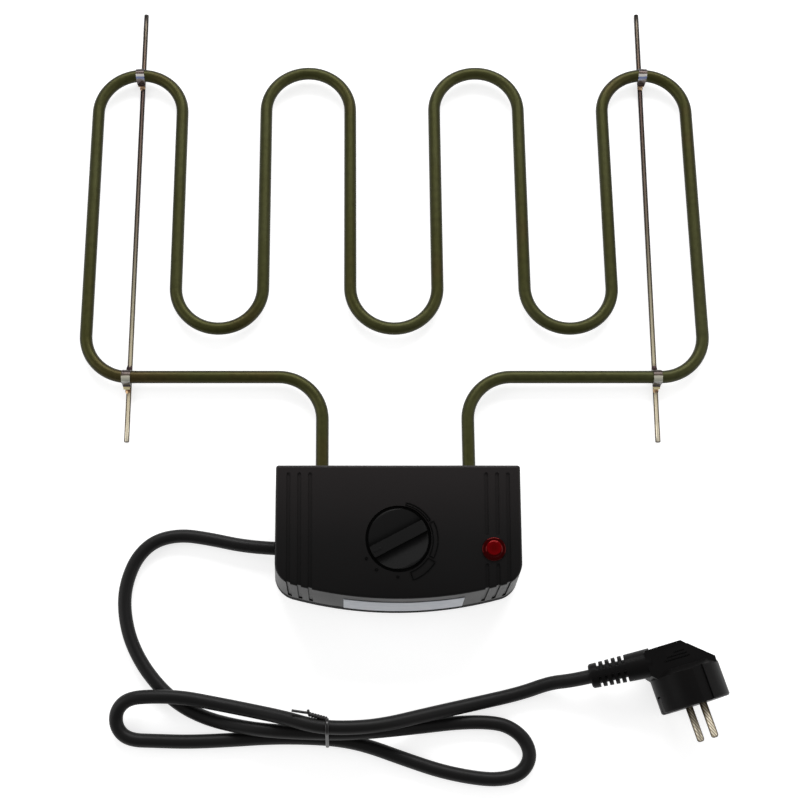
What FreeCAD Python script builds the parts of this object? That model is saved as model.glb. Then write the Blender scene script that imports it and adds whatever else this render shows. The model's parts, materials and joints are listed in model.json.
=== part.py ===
import FreeCAD, Part
import math
import os
import Sketcher

# Electric heating unit of a smoker: a serpentine tubular element on two support rods, a control box
# with thermostat, lamp and terminals, and a mains cord with its plug.
# Millimetres, X to the right, Y to the back, Z up. The origin is the bottom centre of the unit
# without its cord.

doc = FreeCAD.newDocument("smoker_heater")
V = FreeCAD.Vector

# Driving sizes
SIZES = [
    ("tube_dia", 7.4, "sheathed heating tube"),
    ("rod_dia", 3.0, "support rod wire"),
    ("leg_pitch", 52.0, "between two legs of the element"),
    ("leg_straight", 117.5, "straight part of an inner leg"),
    ("loop_height", 57.0, "from the front run to the centres of the front bends"),
    ("entry_inset", 26.45, "tube ends from the side walls"),
    ("tube_inside", 16.0, "tube length inside the box"),
    ("run_offset", 61.2, "from the box to the front run"),
    ("rod_length", 283.7, "support rod"),
    ("rod_overrun", 38.1, "rod end in front of the front run"),
    ("box_width", 137.2, "box at its base"),
    ("box_depth", 75.2, "box at its base, at the middle"),
    ("front_bow", 226.0, "radius of the bowed front wall"),
    ("front_corner", 14.0, "front corner radius at the base"),
    ("face_height", 50.15, "sloping face above the floor at the rear wall"),
    ("face_tilt", 8.53, "slope of the face, degrees"),
    ("draft", 2.5, "draft of the moulded walls, degrees"),
    ("wall", 2.4, "moulded wall"),
    ("top_round", 1.5, "round edge of the face and of the rear corners"),
    ("groove_width", 2.2, "decorative groove"),
    ("groove_depth", 0.7, "decorative groove"),
    ("groove_inset", 9.0, "outermost groove from the side wall"),
    ("groove_pitch", 5.9, "between grooves"),
    ("groove_margin", 7.3, "groove end from the rear wall"),
    ("groove_foot", 1.5, "groove end above the parting plane"),
    ("lamp_panel", 17.2, "plain face round the lamp, front to back"),
    ("knob_offset", 41.8, "knob centre from the rear wall"),
    ("knob_dia", 32.5, "knob cap"),
    ("knob_proud", 1.2, "knob above the face"),
    ("knob_thick", 7.4, "knob cap"),
    ("knob_bevel", 0.6, "bevel of the knob cap"),
    ("grip_width", 6.4, "grip bar across the knob"),
    ("grip_depth", 3.8, "finger pockets at the grip bar"),
    ("grip_rim", 1.4, "pocket end from the rim of the knob"),
    ("grip_angle", 27.5, "grip bar from the X direction at rest, degrees"),
    ("pointer_length", 4.0, "raised pointer on the grip bar"),
    ("pointer_width", 0.9, "raised pointer on the grip bar"),
    ("pointer_inset", 1.5, "raised pointer from the rim of the knob"),
    ("pointer_height", 0.3, "raised pointer on the grip bar"),
    ("well_dia", 35.8, "recess round the knob"),
    ("well_depth", 7.0, "recess round the knob"),
    ("scale_gap", 0.6, "dial scale outside the recess"),
    ("scale_line", 0.6, "raised line of the dial scale"),
    ("scale_height", 0.3, "raised line of the dial scale"),
    ("scale_low", 1.9, "first field of the dial scale, across"),
    ("scale_mid", 3.2, "second field of the dial scale, across"),
    ("scale_high", 5.0, "third field of the dial scale, across"),
    ("mark_dia", 1.6, "round marks of the dial scale"),
    ("mark_offset", 2.3, "round marks outside the recess"),
    ("hub_dia", 12.0, "knob hub"),
    ("hub_gap", 0.3, "hub in the face, all round"),
    ("hub_length", 5.8, "hub below the cap"),
    ("spindle_dia", 6.0, "thermostat spindle"),
    ("spindle_fit", 0.03, "spindle in its bush, all round"),
    ("spindle_flat", 0.8, "flat of the spindle's D end"),
    ("spindle_length", 20.0, "thermostat spindle"),
    ("spindle_below", 3.0, "spindle top under the face"),
    ("collar_dia", 9.0, "spindle collar"),
    ("collar_thick", 1.0, "spindle collar"),
    ("end_play", 0.3, "collar above the bush"),
    ("boss_dia", 6.4, "bracket boss"),
    ("boss_length", 7.0, "bracket boss under the well"),
    ("boss_back", 13.0, "single bracket boss from the spindle"),
    ("boss_front", 10.0, "pair of bracket bosses from the spindle"),
    ("boss_side", 8.0, "pair of bracket bosses from the middle"),
    ("plate_thick", 1.5, "thermostat bracket"),
    ("plate_back", 18.0, "bracket end from the spindle"),
    ("plate_front", 27.0, "bracket end from the spindle, at the stack"),
    ("plate_width", 22.0, "thermostat bracket"),
    ("bush_dia", 8.0, "spindle bush in the bracket"),
    ("bush_flange", 12.0, "spindle bush flange"),
    ("bush_head", 1.8, "spindle bush flange"),
    ("bush_tail", 2.0, "spindle bush under the bracket"),
    ("stack_offset", 20.0, "ceramic stack from the spindle"),
    ("stack_dia", 10.0, "ceramic washers"),
    ("stack_drop", 7.1, "first washer, from the bracket to the blade"),
    ("blade_thick", 0.4, "contact blade"),
    ("blade_width", 5.0, "contact blade"),
    ("blade_reach", 28.0, "free end of the blade from the stack"),
    ("blade_split", 0.2, "between the blade and its clamped root"),
    ("button_dia", 3.0, "ceramic button on the blade"),
    ("button_gap", 0.3, "spindle end above the button"),
    ("contact_dia", 4.0, "contact rivets"),
    ("contact_thick", 0.8, "contact rivets"),
    ("contact_gap", 0.25, "open contacts"),
    ("contact_offset", 14.0, "contacts from the stack"),
    ("strip_thick", 0.8, "fixed contact strip"),
    ("bimetal_thick", 1.0, "bimetal strip"),
    ("bimetal_drop", 1.95, "washer above the bimetal strip"),
    ("bimetal_width", 8.0, "bimetal strip"),
    ("pin_gap", 0.6, "bimetal pin under the blade"),
    ("rivet_dia", 3.0, "stack rivet"),
    ("tag_width", 6.3, "push-on tags"),
    ("tag_thick", 0.8, "push-on tags"),
    ("tag_length", 8.0, "push-on tags"),
    ("tag_weld", 2.0, "tag on the terminal pin"),
    ("tag_side", 1.0, "thermostat tags from the middle"),
    ("slip_fit", 0.05, "small pieces in one another, all round"),
    ("lamp_inset", 17.1, "lamp from the side wall"),
    ("lamp_offset", 47.3, "lamp from the rear wall"),
    ("lamp_bezel", 13.0, "lamp bezel"),
    ("lamp_rise", 1.0, "lamp bezel above the face"),
    ("lamp_facet", 9.2, "raised facet of the lamp"),
    ("lamp_barrel", 11.8, "lamp barrel"),
    ("lamp_length", 14.0, "lamp barrel under the face"),
    ("lamp_wall", 1.2, "lamp barrel"),
    ("lamp_fit", 0.1, "lamp barrel in the face, all round"),
    ("label_width", 66.0, "plate on the front wall"),
    ("label_height", 21.8, "plate on the front wall"),
    ("label_shift", 3.3, "plate centre from the middle"),
    ("label_thick", 0.3, "plate on the front wall"),
    ("label_rise", 0.5, "plate above the parting plane"),
    ("label_fit", 0.03, "plate off the curved wall"),
    ("tube_fit", 0.1, "tube in the walls, all round"),
    ("lip_height", 1.5, "tongue of the lower housing inside the upper one"),
    ("lip_fit", 0.1, "tongue in its rebate, all round"),
    ("saddle_width", 10.0, "tube clamp, front to back"),
    ("saddle_thick", 1.2, "tube clamp sheet"),
    ("saddle_setback", 4.2, "tube clamp from the rear wall"),
    ("saddle_span", 12.0, "tube clamp beyond a tube's axis"),
    ("clamp_screw_x", 22.0, "tube clamp screws from the middle"),
    ("screw_dia", 2.8, "self-tapping screws"),
    ("screw_head", 6.0, "self-tapping screw heads"),
    ("head_height", 1.4, "self-tapping screw heads"),
    ("screw_fit", 0.05, "screws in their holes, all round"),
    ("post_dia", 7.0, "screw posts of the box"),
    ("post_rear_inset", 9.6, "rear posts from the side wall"),
    ("post_rear_y", 8.2, "rear posts from the rear wall"),
    ("post_front_inset", 16.6, "front posts from the side wall"),
    ("post_front_y", 58.2, "front posts from the rear wall"),
    ("post_grip", 14.0, "screw thread in the posts"),
    ("earth_dia", 4.0, "earth screw"),
    ("terminal_thick", 0.8, "earth terminal sheet"),
    ("terminal_width", 3.6, "earth terminal neck and crimp"),
    ("crimp_length", 5.0, "crimp of the earth terminal"),
    ("crimp_offset", 5.0, "crimp from the tube clamp"),
    ("seal_length", 3.0, "end seal of the tube"),
    ("pin_dia", 2.5, "terminal pin of the tube"),
    ("pin_length", 8.2, "terminal pin beyond the tube"),
    ("receptacle_length", 14.0, "push-on receptacle"),
    ("receptacle_width", 7.4, "push-on receptacle"),
    ("receptacle_thick", 2.6, "push-on receptacle"),
    ("receptacle_grip", 6.0, "tag inside its receptacle"),
    ("clip_width", 5.5, "clip strap"),
    ("clip_fit", 0.15, "clip on the tube, all round"),
    ("clip_thick", 0.8, "clip strap"),
    ("clip_tab", 4.0, "clip tab on the rod"),
    ("clip_tab_width", 4.0, "clip tab on the rod"),
    ("weld_length", 3.0, "weld bead on the rod"),
    ("weld_dia", 4.4, "weld bead on the rod"),
    ("weld_rear", 2.0, "weld bead behind the clip"),
    ("cord_dia", 7.6, "mains cord"),
    ("cord_fit", 0.05, "cord in the wall and the clamp, all round"),
    ("cord_offset", 39.7, "cord exit from the rear wall"),
    ("cord_inside", 16.6, "cord end inside the box"),
    ("cord_clamp_width", 8.0, "cord clamp along the cord"),
    ("cord_clamp_inset", 6.6, "cord clamp from the side wall"),
    ("cord_clamp_span", 11.5, "cord clamp beside the cord's axis"),
    ("cord_clamp_rise", 5.8, "cord clamp above the parting plane"),
    ("cord_clamp_screw", 8.0, "cord clamp screws beside the cord's axis"),
    ("core_dia", 2.4, "insulated cores"),
    ("core_spread", 1.8, "cores from the cord's axis at its end"),
    ("core_lay", 5.0, "step of the inner wiring"),
    ("plug_dia", 38.0, "plug head"),
    ("plug_face", 18.2, "round part of the plug head, to where its ramps begin"),
    ("plug_side", 18.6, "round part of the plug head, to where its side is bevelled"),
    ("plug_drum", 21.4, "round part of the plug head, with its ramps to the rear part"),
    ("plug_back", 24.0, "rear part of the plug head, top to bottom"),
    ("plug_step", 1.2, "lower strip along the rear edge"),
    ("plug_strip", 2.6, "lower strip along the rear edge"),
    ("plug_depth", 34.5, "plug head, front to back"),
    ("plug_yaw", 16.5, "plug turned on the floor, degrees"),
    ("plug_roll", 80.0, "line of the pins from the floor, degrees"),
    ("plug_pin_dia", 4.0, "plug pins"),
    ("plug_pin_length", 19.0, "plug pins"),
    ("plug_pin_tip", 1.4, "tapered end of the plug pins"),
    ("plug_shank_dia", 3.6, "plug pins inside the head"),
    ("plug_shank", 10.0, "plug pins inside the head"),
    ("plug_round", 0.8, "round edge of the plug face"),
    ("plug_groove", 0.7, "finger grooves of the plug"),
    ("plug_groove_pitch", 1.75, "between the finger grooves"),
    ("plug_neck", 17.0, "rear part of the plug head beside the sleeve, top to bottom"),
    ("plug_groove_length", 6.0, "shortest finger groove of the plug"),
    ("plug_guide", 6.0, "guide groove on each side of the plug face"),
    ("plug_guide_depth", 1.2, "guide groove on each side of the plug face"),
    ("plug_pin_pitch", 19.0, "between the plug pins"),
    ("sleeve_length", 34.0, "cord sleeve of the plug"),
    ("sleeve_root", 15.8, "cord sleeve at the head"),
    ("sleeve_tip", 13.2, "cord sleeve at its end"),
    ("sleeve_slope", 14.0, "cord sleeve down to the floor, degrees"),
    ("sleeve_slot", 1.5, "bending slots of the cord sleeve"),
    ("sleeve_slot_pitch", 3.5, "between two bending slots"),
    ("sleeve_slot_depth", 1.8, "bending slots of the cord sleeve"),
    ("sleeve_strip", 3.4, "plain strip between the slots"),
    ("sleeve_collar", 4.5, "plain end of the sleeve"),
    ("contact_strip", 4.0, "earth contacts of the plug"),
    ("contact_depth", 3.0, "earth contacts of the plug, under the rim"),
    ("contact_length", 9.0, "earth contacts of the plug"),
    ("tie_wire", 1.0, "twist tie"),
    ("tie_fit", 0.3, "twist tie off the cord"),
]

sheet = doc.addObject("Spreadsheet::Sheet", "sizes")
for row, (alias, number, note) in enumerate(SIZES, start=1):
    sheet.set(f"A{row}", note)
    sheet.set(f"B{row}", str(number))
    sheet.setAlias(f"B{row}", alias)
doc.recompute()


# A size carries its number and the sheet expression that gives it, so that one formula serves both
class Size:
    def __init__(self, number, text):
        self.number = number
        self.text = text

    def _pair(self, other):
        return other if isinstance(other, Size) else Size(float(other), repr(float(other)))

    def _join(self, sign, other, number):
        return Size(number, f"({self.text} {sign} {other.text})")

    def __add__(self, other):
        other = self._pair(other)
        return self._join("+", other, self.number + other.number)

    def __sub__(self, other):
        other = self._pair(other)
        return self._join("-", other, self.number - other.number)

    def __mul__(self, other):
        other = self._pair(other)
        return self._join("*", other, self.number * other.number)

    def __truediv__(self, other):
        other = self._pair(other)
        return self._join("/", other, self.number / other.number)

    def __radd__(self, other):
        return self._pair(other) + self

    def __rsub__(self, other):
        return self._pair(other) - self

    def __rmul__(self, other):
        return self._pair(other) * self

    def __neg__(self):
        return Size(-self.number, f"(0 - {self.text})")

    def __float__(self):
        return float(self.number)


def root(size):
    return Size(math.sqrt(size.number), f"sqrt({size.text})")


def sine(size):
    return Size(math.sin(math.radians(size.number)), f"sin({size.text})")


def cosine(size):
    return Size(math.cos(math.radians(size.number)), f"cos({size.text})")


def tangent(size):
    return Size(math.tan(math.radians(size.number)), f"tan({size.text})")


class Sheet:
    def __getattr__(self, alias):
        return Size(float(sheet.get(alias)), f"sizes.{alias}")


s = Sheet()

# Places worked out from the driving sizes
unit_depth = s.box_depth + s.run_offset - s.rod_overrun + s.rod_length
box_front = unit_depth / -2
box_rear = box_front + s.box_depth
run_y = box_rear + s.run_offset
tube_r = s.tube_dia / 2
rod_r = s.rod_dia / 2
tube_z = s.rod_dia + tube_r
parting = tube_z
entry_x = s.box_width / 2 - s.entry_inset
bend_r = s.leg_pitch / 2
front_bends = run_y + s.loop_height
rear_bends = front_bends + s.leg_straight
outer_leg = s.leg_pitch * 3.5
rod_x = outer_leg - bend_r
clip_rear_y = rear_bends + bend_r
tube_end = box_rear - s.tube_inside
receptacle_y = tube_end - s.pin_length - s.tag_length + s.receptacle_grip - s.receptacle_length
saddle_y = box_rear - s.saddle_setback - s.saddle_width
face_slope = tangent(s.face_tilt)
knob_y = box_rear - s.knob_offset
knob_z = s.face_height - s.knob_offset * face_slope
lamp_y = box_rear - s.lamp_offset
lamp_z = s.face_height - s.lamp_offset * face_slope
lamp_x = s.box_width / 2 - s.lamp_inset
cord_y = box_rear - s.cord_offset
cord_r = s.cord_dia / 2

parts = {}


# Building helpers
def bind(obj, **sizes):
    for name, size in sizes.items():
        if isinstance(size, Size):
            obj.setExpression(name.replace("_", "."), size.text)
        else:
            obj.setExpression(name.replace("_", "."), repr(float(size)))
    return obj


def place(obj, x=0.0, y=0.0, z=0.0, axis=V(0, 0, 1), angle=0.0):
    obj.Placement = FreeCAD.Placement(V(float(x), float(y), float(z)), FreeCAD.Rotation(axis, float(angle)))
    for name, size in (("x", x), ("y", y), ("z", z)):
        if isinstance(size, Size):
            obj.setExpression(f"Placement.Base.{name}", size.text)
    return obj


def box(x, y, z, length, width, height):
    return place(bind(doc.addObject("Part::Box"), Length=length, Width=width, Height=height), x, y, z)


def cylinder(x, y, z, radius, height, axis="z"):
    turn = {"z": (V(0, 0, 1), 0), "x": (V(0, 1, 0), 90), "y": (V(1, 0, 0), -90)}[axis]
    return place(bind(doc.addObject("Part::Cylinder"), Radius=radius, Height=height), x, y, z, *turn)


def cone(x, y, z, radius1, radius2, height, axis="z"):
    turn = {"z": (V(0, 0, 1), 0), "x": (V(0, 1, 0), 90), "y": (V(1, 0, 0), -90)}[axis]
    made = bind(doc.addObject("Part::Cone"), Radius1=radius1, Radius2=radius2, Height=height)
    return place(made, x, y, z, *turn)


def fuse(*shapes):
    made = doc.addObject("Part::MultiFuse")
    made.Shapes = list(shapes)
    return made


def cut(base, *tools):
    made = doc.addObject("Part::Cut")
    made.Base = base
    made.Tool = tools[0] if len(tools) == 1 else fuse(*tools)
    return made


def common(first, second):
    made = doc.addObject("Part::MultiCommon")
    made.Shapes = [first, second]
    return made


def group(*shapes):
    made = doc.addObject("Part::Compound")
    made.Links = list(shapes)
    return made


# Turns a piece about the origin, with its own place kept bound to the sheet
def turned(obj, axis, angle):
    made = group(obj)
    made.Placement = FreeCAD.Placement(V(), FreeCAD.Rotation(axis, float(angle)))
    return made


def node(label, obj):
    obj.Label = label
    parts[label] = obj
    return obj


def plane_of(body, role):
    return [(f, [""]) for f in body.Origin.OriginFeatures if f.Role == role][0]


# A sketch on an origin plane of the body, at an offset along the plane's normal
def sketch_on(body, role, offset=0.0):
    sketch = body.newObject("Sketcher::SketchObject", "outline")
    sketch.AttachmentSupport = plane_of(body, role)
    sketch.MapMode = "FlatFace"
    if isinstance(offset, Size):
        sketch.setExpression("AttachmentOffset.Base.z", offset.text)
    else:
        sketch.AttachmentOffset = FreeCAD.Placement(V(0, 0, offset), FreeCAD.Rotation())
    return sketch


# Draws a chain of lines and arcs. A corner is (x, y), and an entry (x, y, radius, middle) makes the
# stretch that ends there an arc of that radius through the point named middle.
def draw(sketch, chain, closed=True):
    corners = [V(float(c[0]), float(c[1]), 0) for c in chain]
    last = len(chain) if closed else len(chain) - 1
    ends = []
    for i in range(last):
        k = (i + 1) % len(chain)
        arc = len(chain[k]) > 2
        if arc:
            middle = V(float(chain[k][3][0]), float(chain[k][3][1]), 0)
            geo = sketch.addGeometry(Part.Arc(corners[i], middle, corners[k]))
        else:
            geo = sketch.addGeometry(Part.LineSegment(corners[i], corners[k]))
        forward = sketch.getPoint(geo, 1).distanceToPoint(corners[i]) < 1e-4
        ends.append((geo, 1 if forward else 2, 2 if forward else 1))
        if arc:
            half_round = corners[i].distanceToPoint(corners[k]) > 1.99 * float(chain[k][2])
            if half_round:
                level = Sketcher.Constraint("DistanceY", -1, 1, geo, 3, float(chain[k][1]))
                shape, size = sketch.addConstraint(level), chain[k][1]
            else:
                level = Sketcher.Constraint("Radius", geo, float(chain[k][2]))
                shape, size = sketch.addConstraint(level), chain[k][2]
            sketch.setExpression(f"Constraints[{shape}]", size.text)
    for i in range(last):
        following = (i + 1) % last
        if closed or following:
            pair = (ends[i][0], ends[i][2], ends[following][0], ends[following][1])
            sketch.addConstraint(Sketcher.Constraint("Coincident", *pair))
    pinned = [(i, ends[i][0], ends[i][1]) for i in range(last)]
    if not closed:
        pinned.append((last, ends[-1][0], ends[-1][2]))
    for i, geo, point in pinned:
        for kind, size in (("DistanceX", chain[i][0]), ("DistanceY", chain[i][1])):
            number = sketch.addConstraint(Sketcher.Constraint(kind, -1, 1, geo, point, float(size)))
            if isinstance(size, Size):
                sketch.setExpression(f"Constraints[{number}]", size.text)


def pad(body, sketch, length, taper=None, kind="PartDesign::Pad"):
    made = body.newObject(kind, "form")
    made.Profile = sketch
    made.setExpression("Length", length.text if isinstance(length, Size) else repr(float(length)))
    if taper is not None:
        made.setExpression("TaperAngle", taper.text)
    return made


# The path of a wire or cord: straight runs joined by tangent arcs, each as large as its runs allow
def path_of(points, share=0.45):
    spots = [V(*p) for p in points]
    edges = []
    radii = []
    start = spots[0]
    for before, corner, after in zip(spots, spots[1:], spots[2:]):
        back = before - corner
        ahead = after - corner
        trim = share * min(back.Length, ahead.Length)
        half = (math.pi - back.getAngle(ahead)) / 2
        radius = trim / math.tan(half)
        radii.append(radius)
        back.normalize()
        ahead.normalize()
        first = corner + back * trim
        final = corner + ahead * trim
        inward = (back + ahead).normalize()
        middle = corner + inward * (radius / math.cos(half) - radius)
        edges.append(Part.LineSegment(start, first).toShape())
        edges.append(Part.Arc(first, middle, final).toShape())
        start = final
    edges.append(Part.LineSegment(start, spots[-1]).toShape())
    return Part.Wire(edges), radii


def pipe(points, diameter, share=0.45):
    path, radii = path_of(points, share)
    ahead = V(*points[1]) - V(*points[0])
    ring = Part.Wire(Part.makeCircle(float(diameter) / 2, V(*points[0]), ahead))
    solid = path.makePipeShell([ring], True, False)
    area = math.pi * float(diameter) ** 2 / 4
    print("pipe length", round(path.Length, 1), "volume share", round(solid.Volume / (area * path.Length), 4),
          "smallest radius", round(min(radii), 1) if radii else "none")
    return solid, radii


def pipe_feature(name, points, diameter, share=0.45):
    made = doc.addObject("Part::Feature", name)
    made.Shape = pipe(points, diameter, share)[0]
    return made


# Heating element
def heating_tube():
    body = doc.addObject("PartDesign::Body", "heating_tube")
    path = sketch_on(body, "XY_Plane", tube_z)
    cos45 = math.sqrt(0.5)
    inner = entry_x + bend_r
    left = [(-entry_x, tube_end), (-entry_x, run_y - bend_r)]
    swing = (-inner + bend_r * cos45, run_y - bend_r + bend_r * cos45)
    left.append((-inner, run_y, bend_r, swing))
    left.append((-rod_x, run_y))
    swing = (-rod_x - bend_r * cos45, run_y + bend_r - bend_r * cos45)
    left.append((-outer_leg, run_y + bend_r, bend_r, swing))
    legs = [outer_leg * -1 + s.leg_pitch * i for i in range(8)]
    chain = left + [(legs[0], rear_bends)]
    for i in range(7):
        rear = i % 2 == 0
        level = rear_bends if rear else front_bends
        crown = (legs[i] + bend_r, level + bend_r if rear else level - bend_r)
        chain.append((legs[i + 1], level, bend_r, crown))
        if i < 6:
            chain.append((legs[i + 1], front_bends if rear else rear_bends))
    chain.append((outer_leg, run_y + bend_r))
    swing = (rod_x + bend_r * cos45, run_y + bend_r - bend_r * cos45)
    chain.append((rod_x, run_y, bend_r, swing))
    chain.append((inner, run_y))
    swing = (inner - bend_r * cos45, run_y - bend_r + bend_r * cos45)
    chain.append((entry_x, run_y - bend_r, bend_r, swing))
    chain.append((entry_x, tube_end))
    draw(path, chain, closed=False)
    ring = sketch_on(body, "XZ_Plane", -tube_end)
    circle = ring.addGeometry(Part.Circle(V(-float(entry_x), float(tube_z), 0), V(0, 0, 1), float(tube_r)))
    for kind, size in (("DistanceX", -entry_x), ("DistanceY", tube_z)):
        number = ring.addConstraint(Sketcher.Constraint(kind, -1, 1, circle, 3, float(size)))
        ring.setExpression(f"Constraints[{number}]", size.text)
    number = ring.addConstraint(Sketcher.Constraint("Radius", circle, float(tube_r)))
    ring.setExpression(f"Constraints[{number}]", tube_r.text)
    sweep = body.newObject("PartDesign::AdditivePipe", "tube")
    sweep.Profile = ring
    sweep.Spine = path
    doc.recompute()
    node("heating_tube", body)


def support_rods():
    rod_front = run_y - s.rod_overrun
    for side, word in ((-1, "left"), (1, "right")):
        node(f"support_rod_{word}", cylinder(rod_x * side, rod_front, rod_r, rod_r, s.rod_length, "y"))


# A strap over the tube, its legs down to the rod, and a tab welded to the rod in front
def rod_clips():
    outer = tube_r + s.clip_thick
    for side, word in ((-1, "left"), (1, "right")):
        for y, place_word in ((clip_rear_y, "rear"), (run_y, "front")):
            x = rod_x * side
            west = x - s.clip_width / 2
            arch = cylinder(west, y, tube_z, outer, s.clip_width, "x")
            legs = box(west, y - outer, s.rod_dia, s.clip_width, outer * 2, tube_r)
            tab = box(x - s.clip_tab_width / 2, y - outer - s.clip_tab, s.rod_dia,
                      s.clip_tab_width, s.clip_tab + outer, s.clip_thick)
            weld = cone(x, y - outer - s.clip_tab - s.weld_length, rod_r, rod_r, s.weld_dia / 2,
                        s.weld_length, "y")
            bead = cone(x, y + outer, rod_r, s.weld_dia / 2, rod_r, s.weld_rear, "y")
            inner = tube_r + s.clip_fit
            hollow = cylinder(west - 1, y, tube_z, inner, s.clip_width + 2, "x")
            slot = box(west - 1, y - inner, 0, s.clip_width + 2, inner * 2, tube_z)
            reach = outer + s.clip_tab + s.weld_length + 1
            rod = cylinder(x, y - reach, rod_r, rod_r, reach * 2, "y")
            floor = box(west - 1, y - reach, -s.weld_dia, s.clip_width + 2, reach * 2, s.weld_dia)
            strap = fuse(arch, legs, tab, weld, bead)
            node(f"rod_clip_{place_word}_{word}", cut(strap, hollow, slot, rod, floor))


# Control box
# The tapered block that gives the box its outer shape. Inset moves every wall and the face inwards.
def block(name, bottom, inset, height=None):
    body = doc.addObject("PartDesign::Body", name)
    side = inset + bottom * tangent(s.draft)
    half = s.box_width / 2 - side
    back = box_rear - side
    bow = s.front_bow - side
    bow_y = box_front + s.front_bow
    corner = s.front_corner - side
    reach = root((bow - corner) * (bow - corner) - (half - corner) * (half - corner))
    corner_y = bow_y - reach
    touch_x = (half - corner) * bow / (bow - corner)
    touch_y = bow_y - reach * bow / (bow - corner)
    middle_x = half - corner + corner * math.cos(math.radians(30))
    middle_y = corner_y - corner * math.sin(math.radians(30))
    outline = sketch_on(body, "XY_Plane", bottom)
    draw(outline, [
        (-half, back),
        (half, back),
        (half, corner_y),
        (touch_x, touch_y, corner, (middle_x, middle_y)),
        (-touch_x, touch_y, bow, (Size(0.0, "0"), bow_y - bow)),
        (-half, corner_y, corner, (-middle_x, middle_y)),
    ])
    if height is not None:
        pad(body, outline, height, -s.draft)
        doc.recompute()
        return body
    pad(body, outline, s.face_height - bottom, -s.draft)
    doc.recompute()
    drop = inset / cosine(s.face_tilt)
    top = s.face_height - drop
    slope = sketch_on(body, "YZ_Plane")
    front = box_front - 5
    draw(slope, [
        (box_rear + 5, top + 5 * face_slope),
        (box_rear + 5, s.face_height + 10),
        (front, s.face_height + 10),
        (front, top - (box_rear - front) * face_slope),
    ])
    trim = body.newObject("PartDesign::Pocket", "face")
    trim.Profile = slope
    trim.Type = "ThroughAll"
    trim.SideType = "Symmetric"
    doc.recompute()
    return body


# Rounds the rear upright edges of a block, and the edges of its sloping face where it has one
def soften(body):
    def on_face(v):
        return abs(v.Z - float(s.face_height) + (float(box_rear) - v.Y) * float(face_slope)) < 0.01

    def upright(edge):
        heights = [v.Z for v in edge.Vertexes]
        at_rear = all(v.Y > float(box_rear) - float(s.wall) * 2 for v in edge.Vertexes)
        return at_rear and max(heights) - min(heights) > float(s.wall)
    before = body.Tip
    names = [f"Edge{i}" for i, edge in enumerate(before.Shape.Edges, start=1)
             if all(on_face(v) for v in edge.Vertexes) or upright(edge)]
    rounded = body.newObject("PartDesign::Fillet", "soft_edge")
    rounded.Base = (before, names)
    rounded.setExpression("Radius", s.top_round.text)
    doc.recompute()
    return body


# Moves a piece that was made round its own origin onto the sloping face
def tilted(obj, x, y, z):
    return place(group(obj), x, y, z, V(1, 0, 0), s.face_tilt)


def posts():
    half = s.box_width / 2
    return [((half - s.post_rear_inset) * side, box_rear - s.post_rear_y) for side in (-1, 1)] + [
        ((half - s.post_front_inset) * side, box_rear - s.post_front_y) for side in (-1, 1)]


def bracket_bosses():
    return [(-s.boss_back, 0.0), (s.boss_front, -s.boss_side), (s.boss_front, s.boss_side)]


# Slots with round ends, cut one groove depth into the face and the front wall
def grooves():
    slots = []
    half = s.groove_width / 2
    start = box_rear - s.groove_margin
    low = parting + s.groove_foot
    tall = s.face_height
    for side in (-1, 1):
        for i in range(3):
            x = (s.box_width / 2 - s.groove_inset - s.groove_pitch * i) * side
            broken = side > 0 and i > 0
            stretches = [(start, box_front - 5)]
            if broken:
                ahead = lamp_y + s.lamp_panel / 2
                stretches = [(start, ahead), (lamp_y - s.lamp_panel / 2, box_front - 5)]
            for back, front in stretches:
                slots.append(box(x - half, front, low, s.groove_width, back - front, tall))
                slots.append(cylinder(x, back, low, half, tall))
            if broken:
                slots.append(cylinder(x, stretches[0][1], low, half, tall))
    return cut(fuse(*slots), block("groove_floor", parting, s.groove_depth))


# One outlined field of the dial scale, from one clock angle to the next, in degrees
def scale_field(first, final, across):
    inner = s.well_dia / 2 + s.scale_gap

    def pie(radius, low, start, end):
        slice = cylinder(0, 0, low, radius, s.scale_height - low)
        slice.Angle = end - start
        return turned(slice, V(0, 0, 1), 90 - end)
    edge = math.degrees(float(s.scale_line) / float(inner))
    band = cut(pie(inner + across, -s.scale_height, first, final), cylinder(0, 0, -2, inner, 4))
    field = cut(pie(inner + across - s.scale_line, -s.scale_height * 2, first + edge, final - edge),
                cylinder(0, 0, -2, inner + s.scale_line, 4))
    return cut(band, field)


# Three raised outlines that grow wider round the knob, and three small round marks
def dial_scale():
    fields = [scale_field(12, 60, s.scale_low), scale_field(62, 119, s.scale_mid),
              scale_field(121, 161, s.scale_high)]
    for clock in (181, 216, 239):
        spot = cylinder(0, s.well_dia / 2 + s.mark_offset, -s.scale_height, s.mark_dia / 2, s.scale_height * 2)
        fields.append(turned(spot, V(0, 0, 1), -clock))
    return tilted(group(*fields), 0, knob_y, knob_z)


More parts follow.
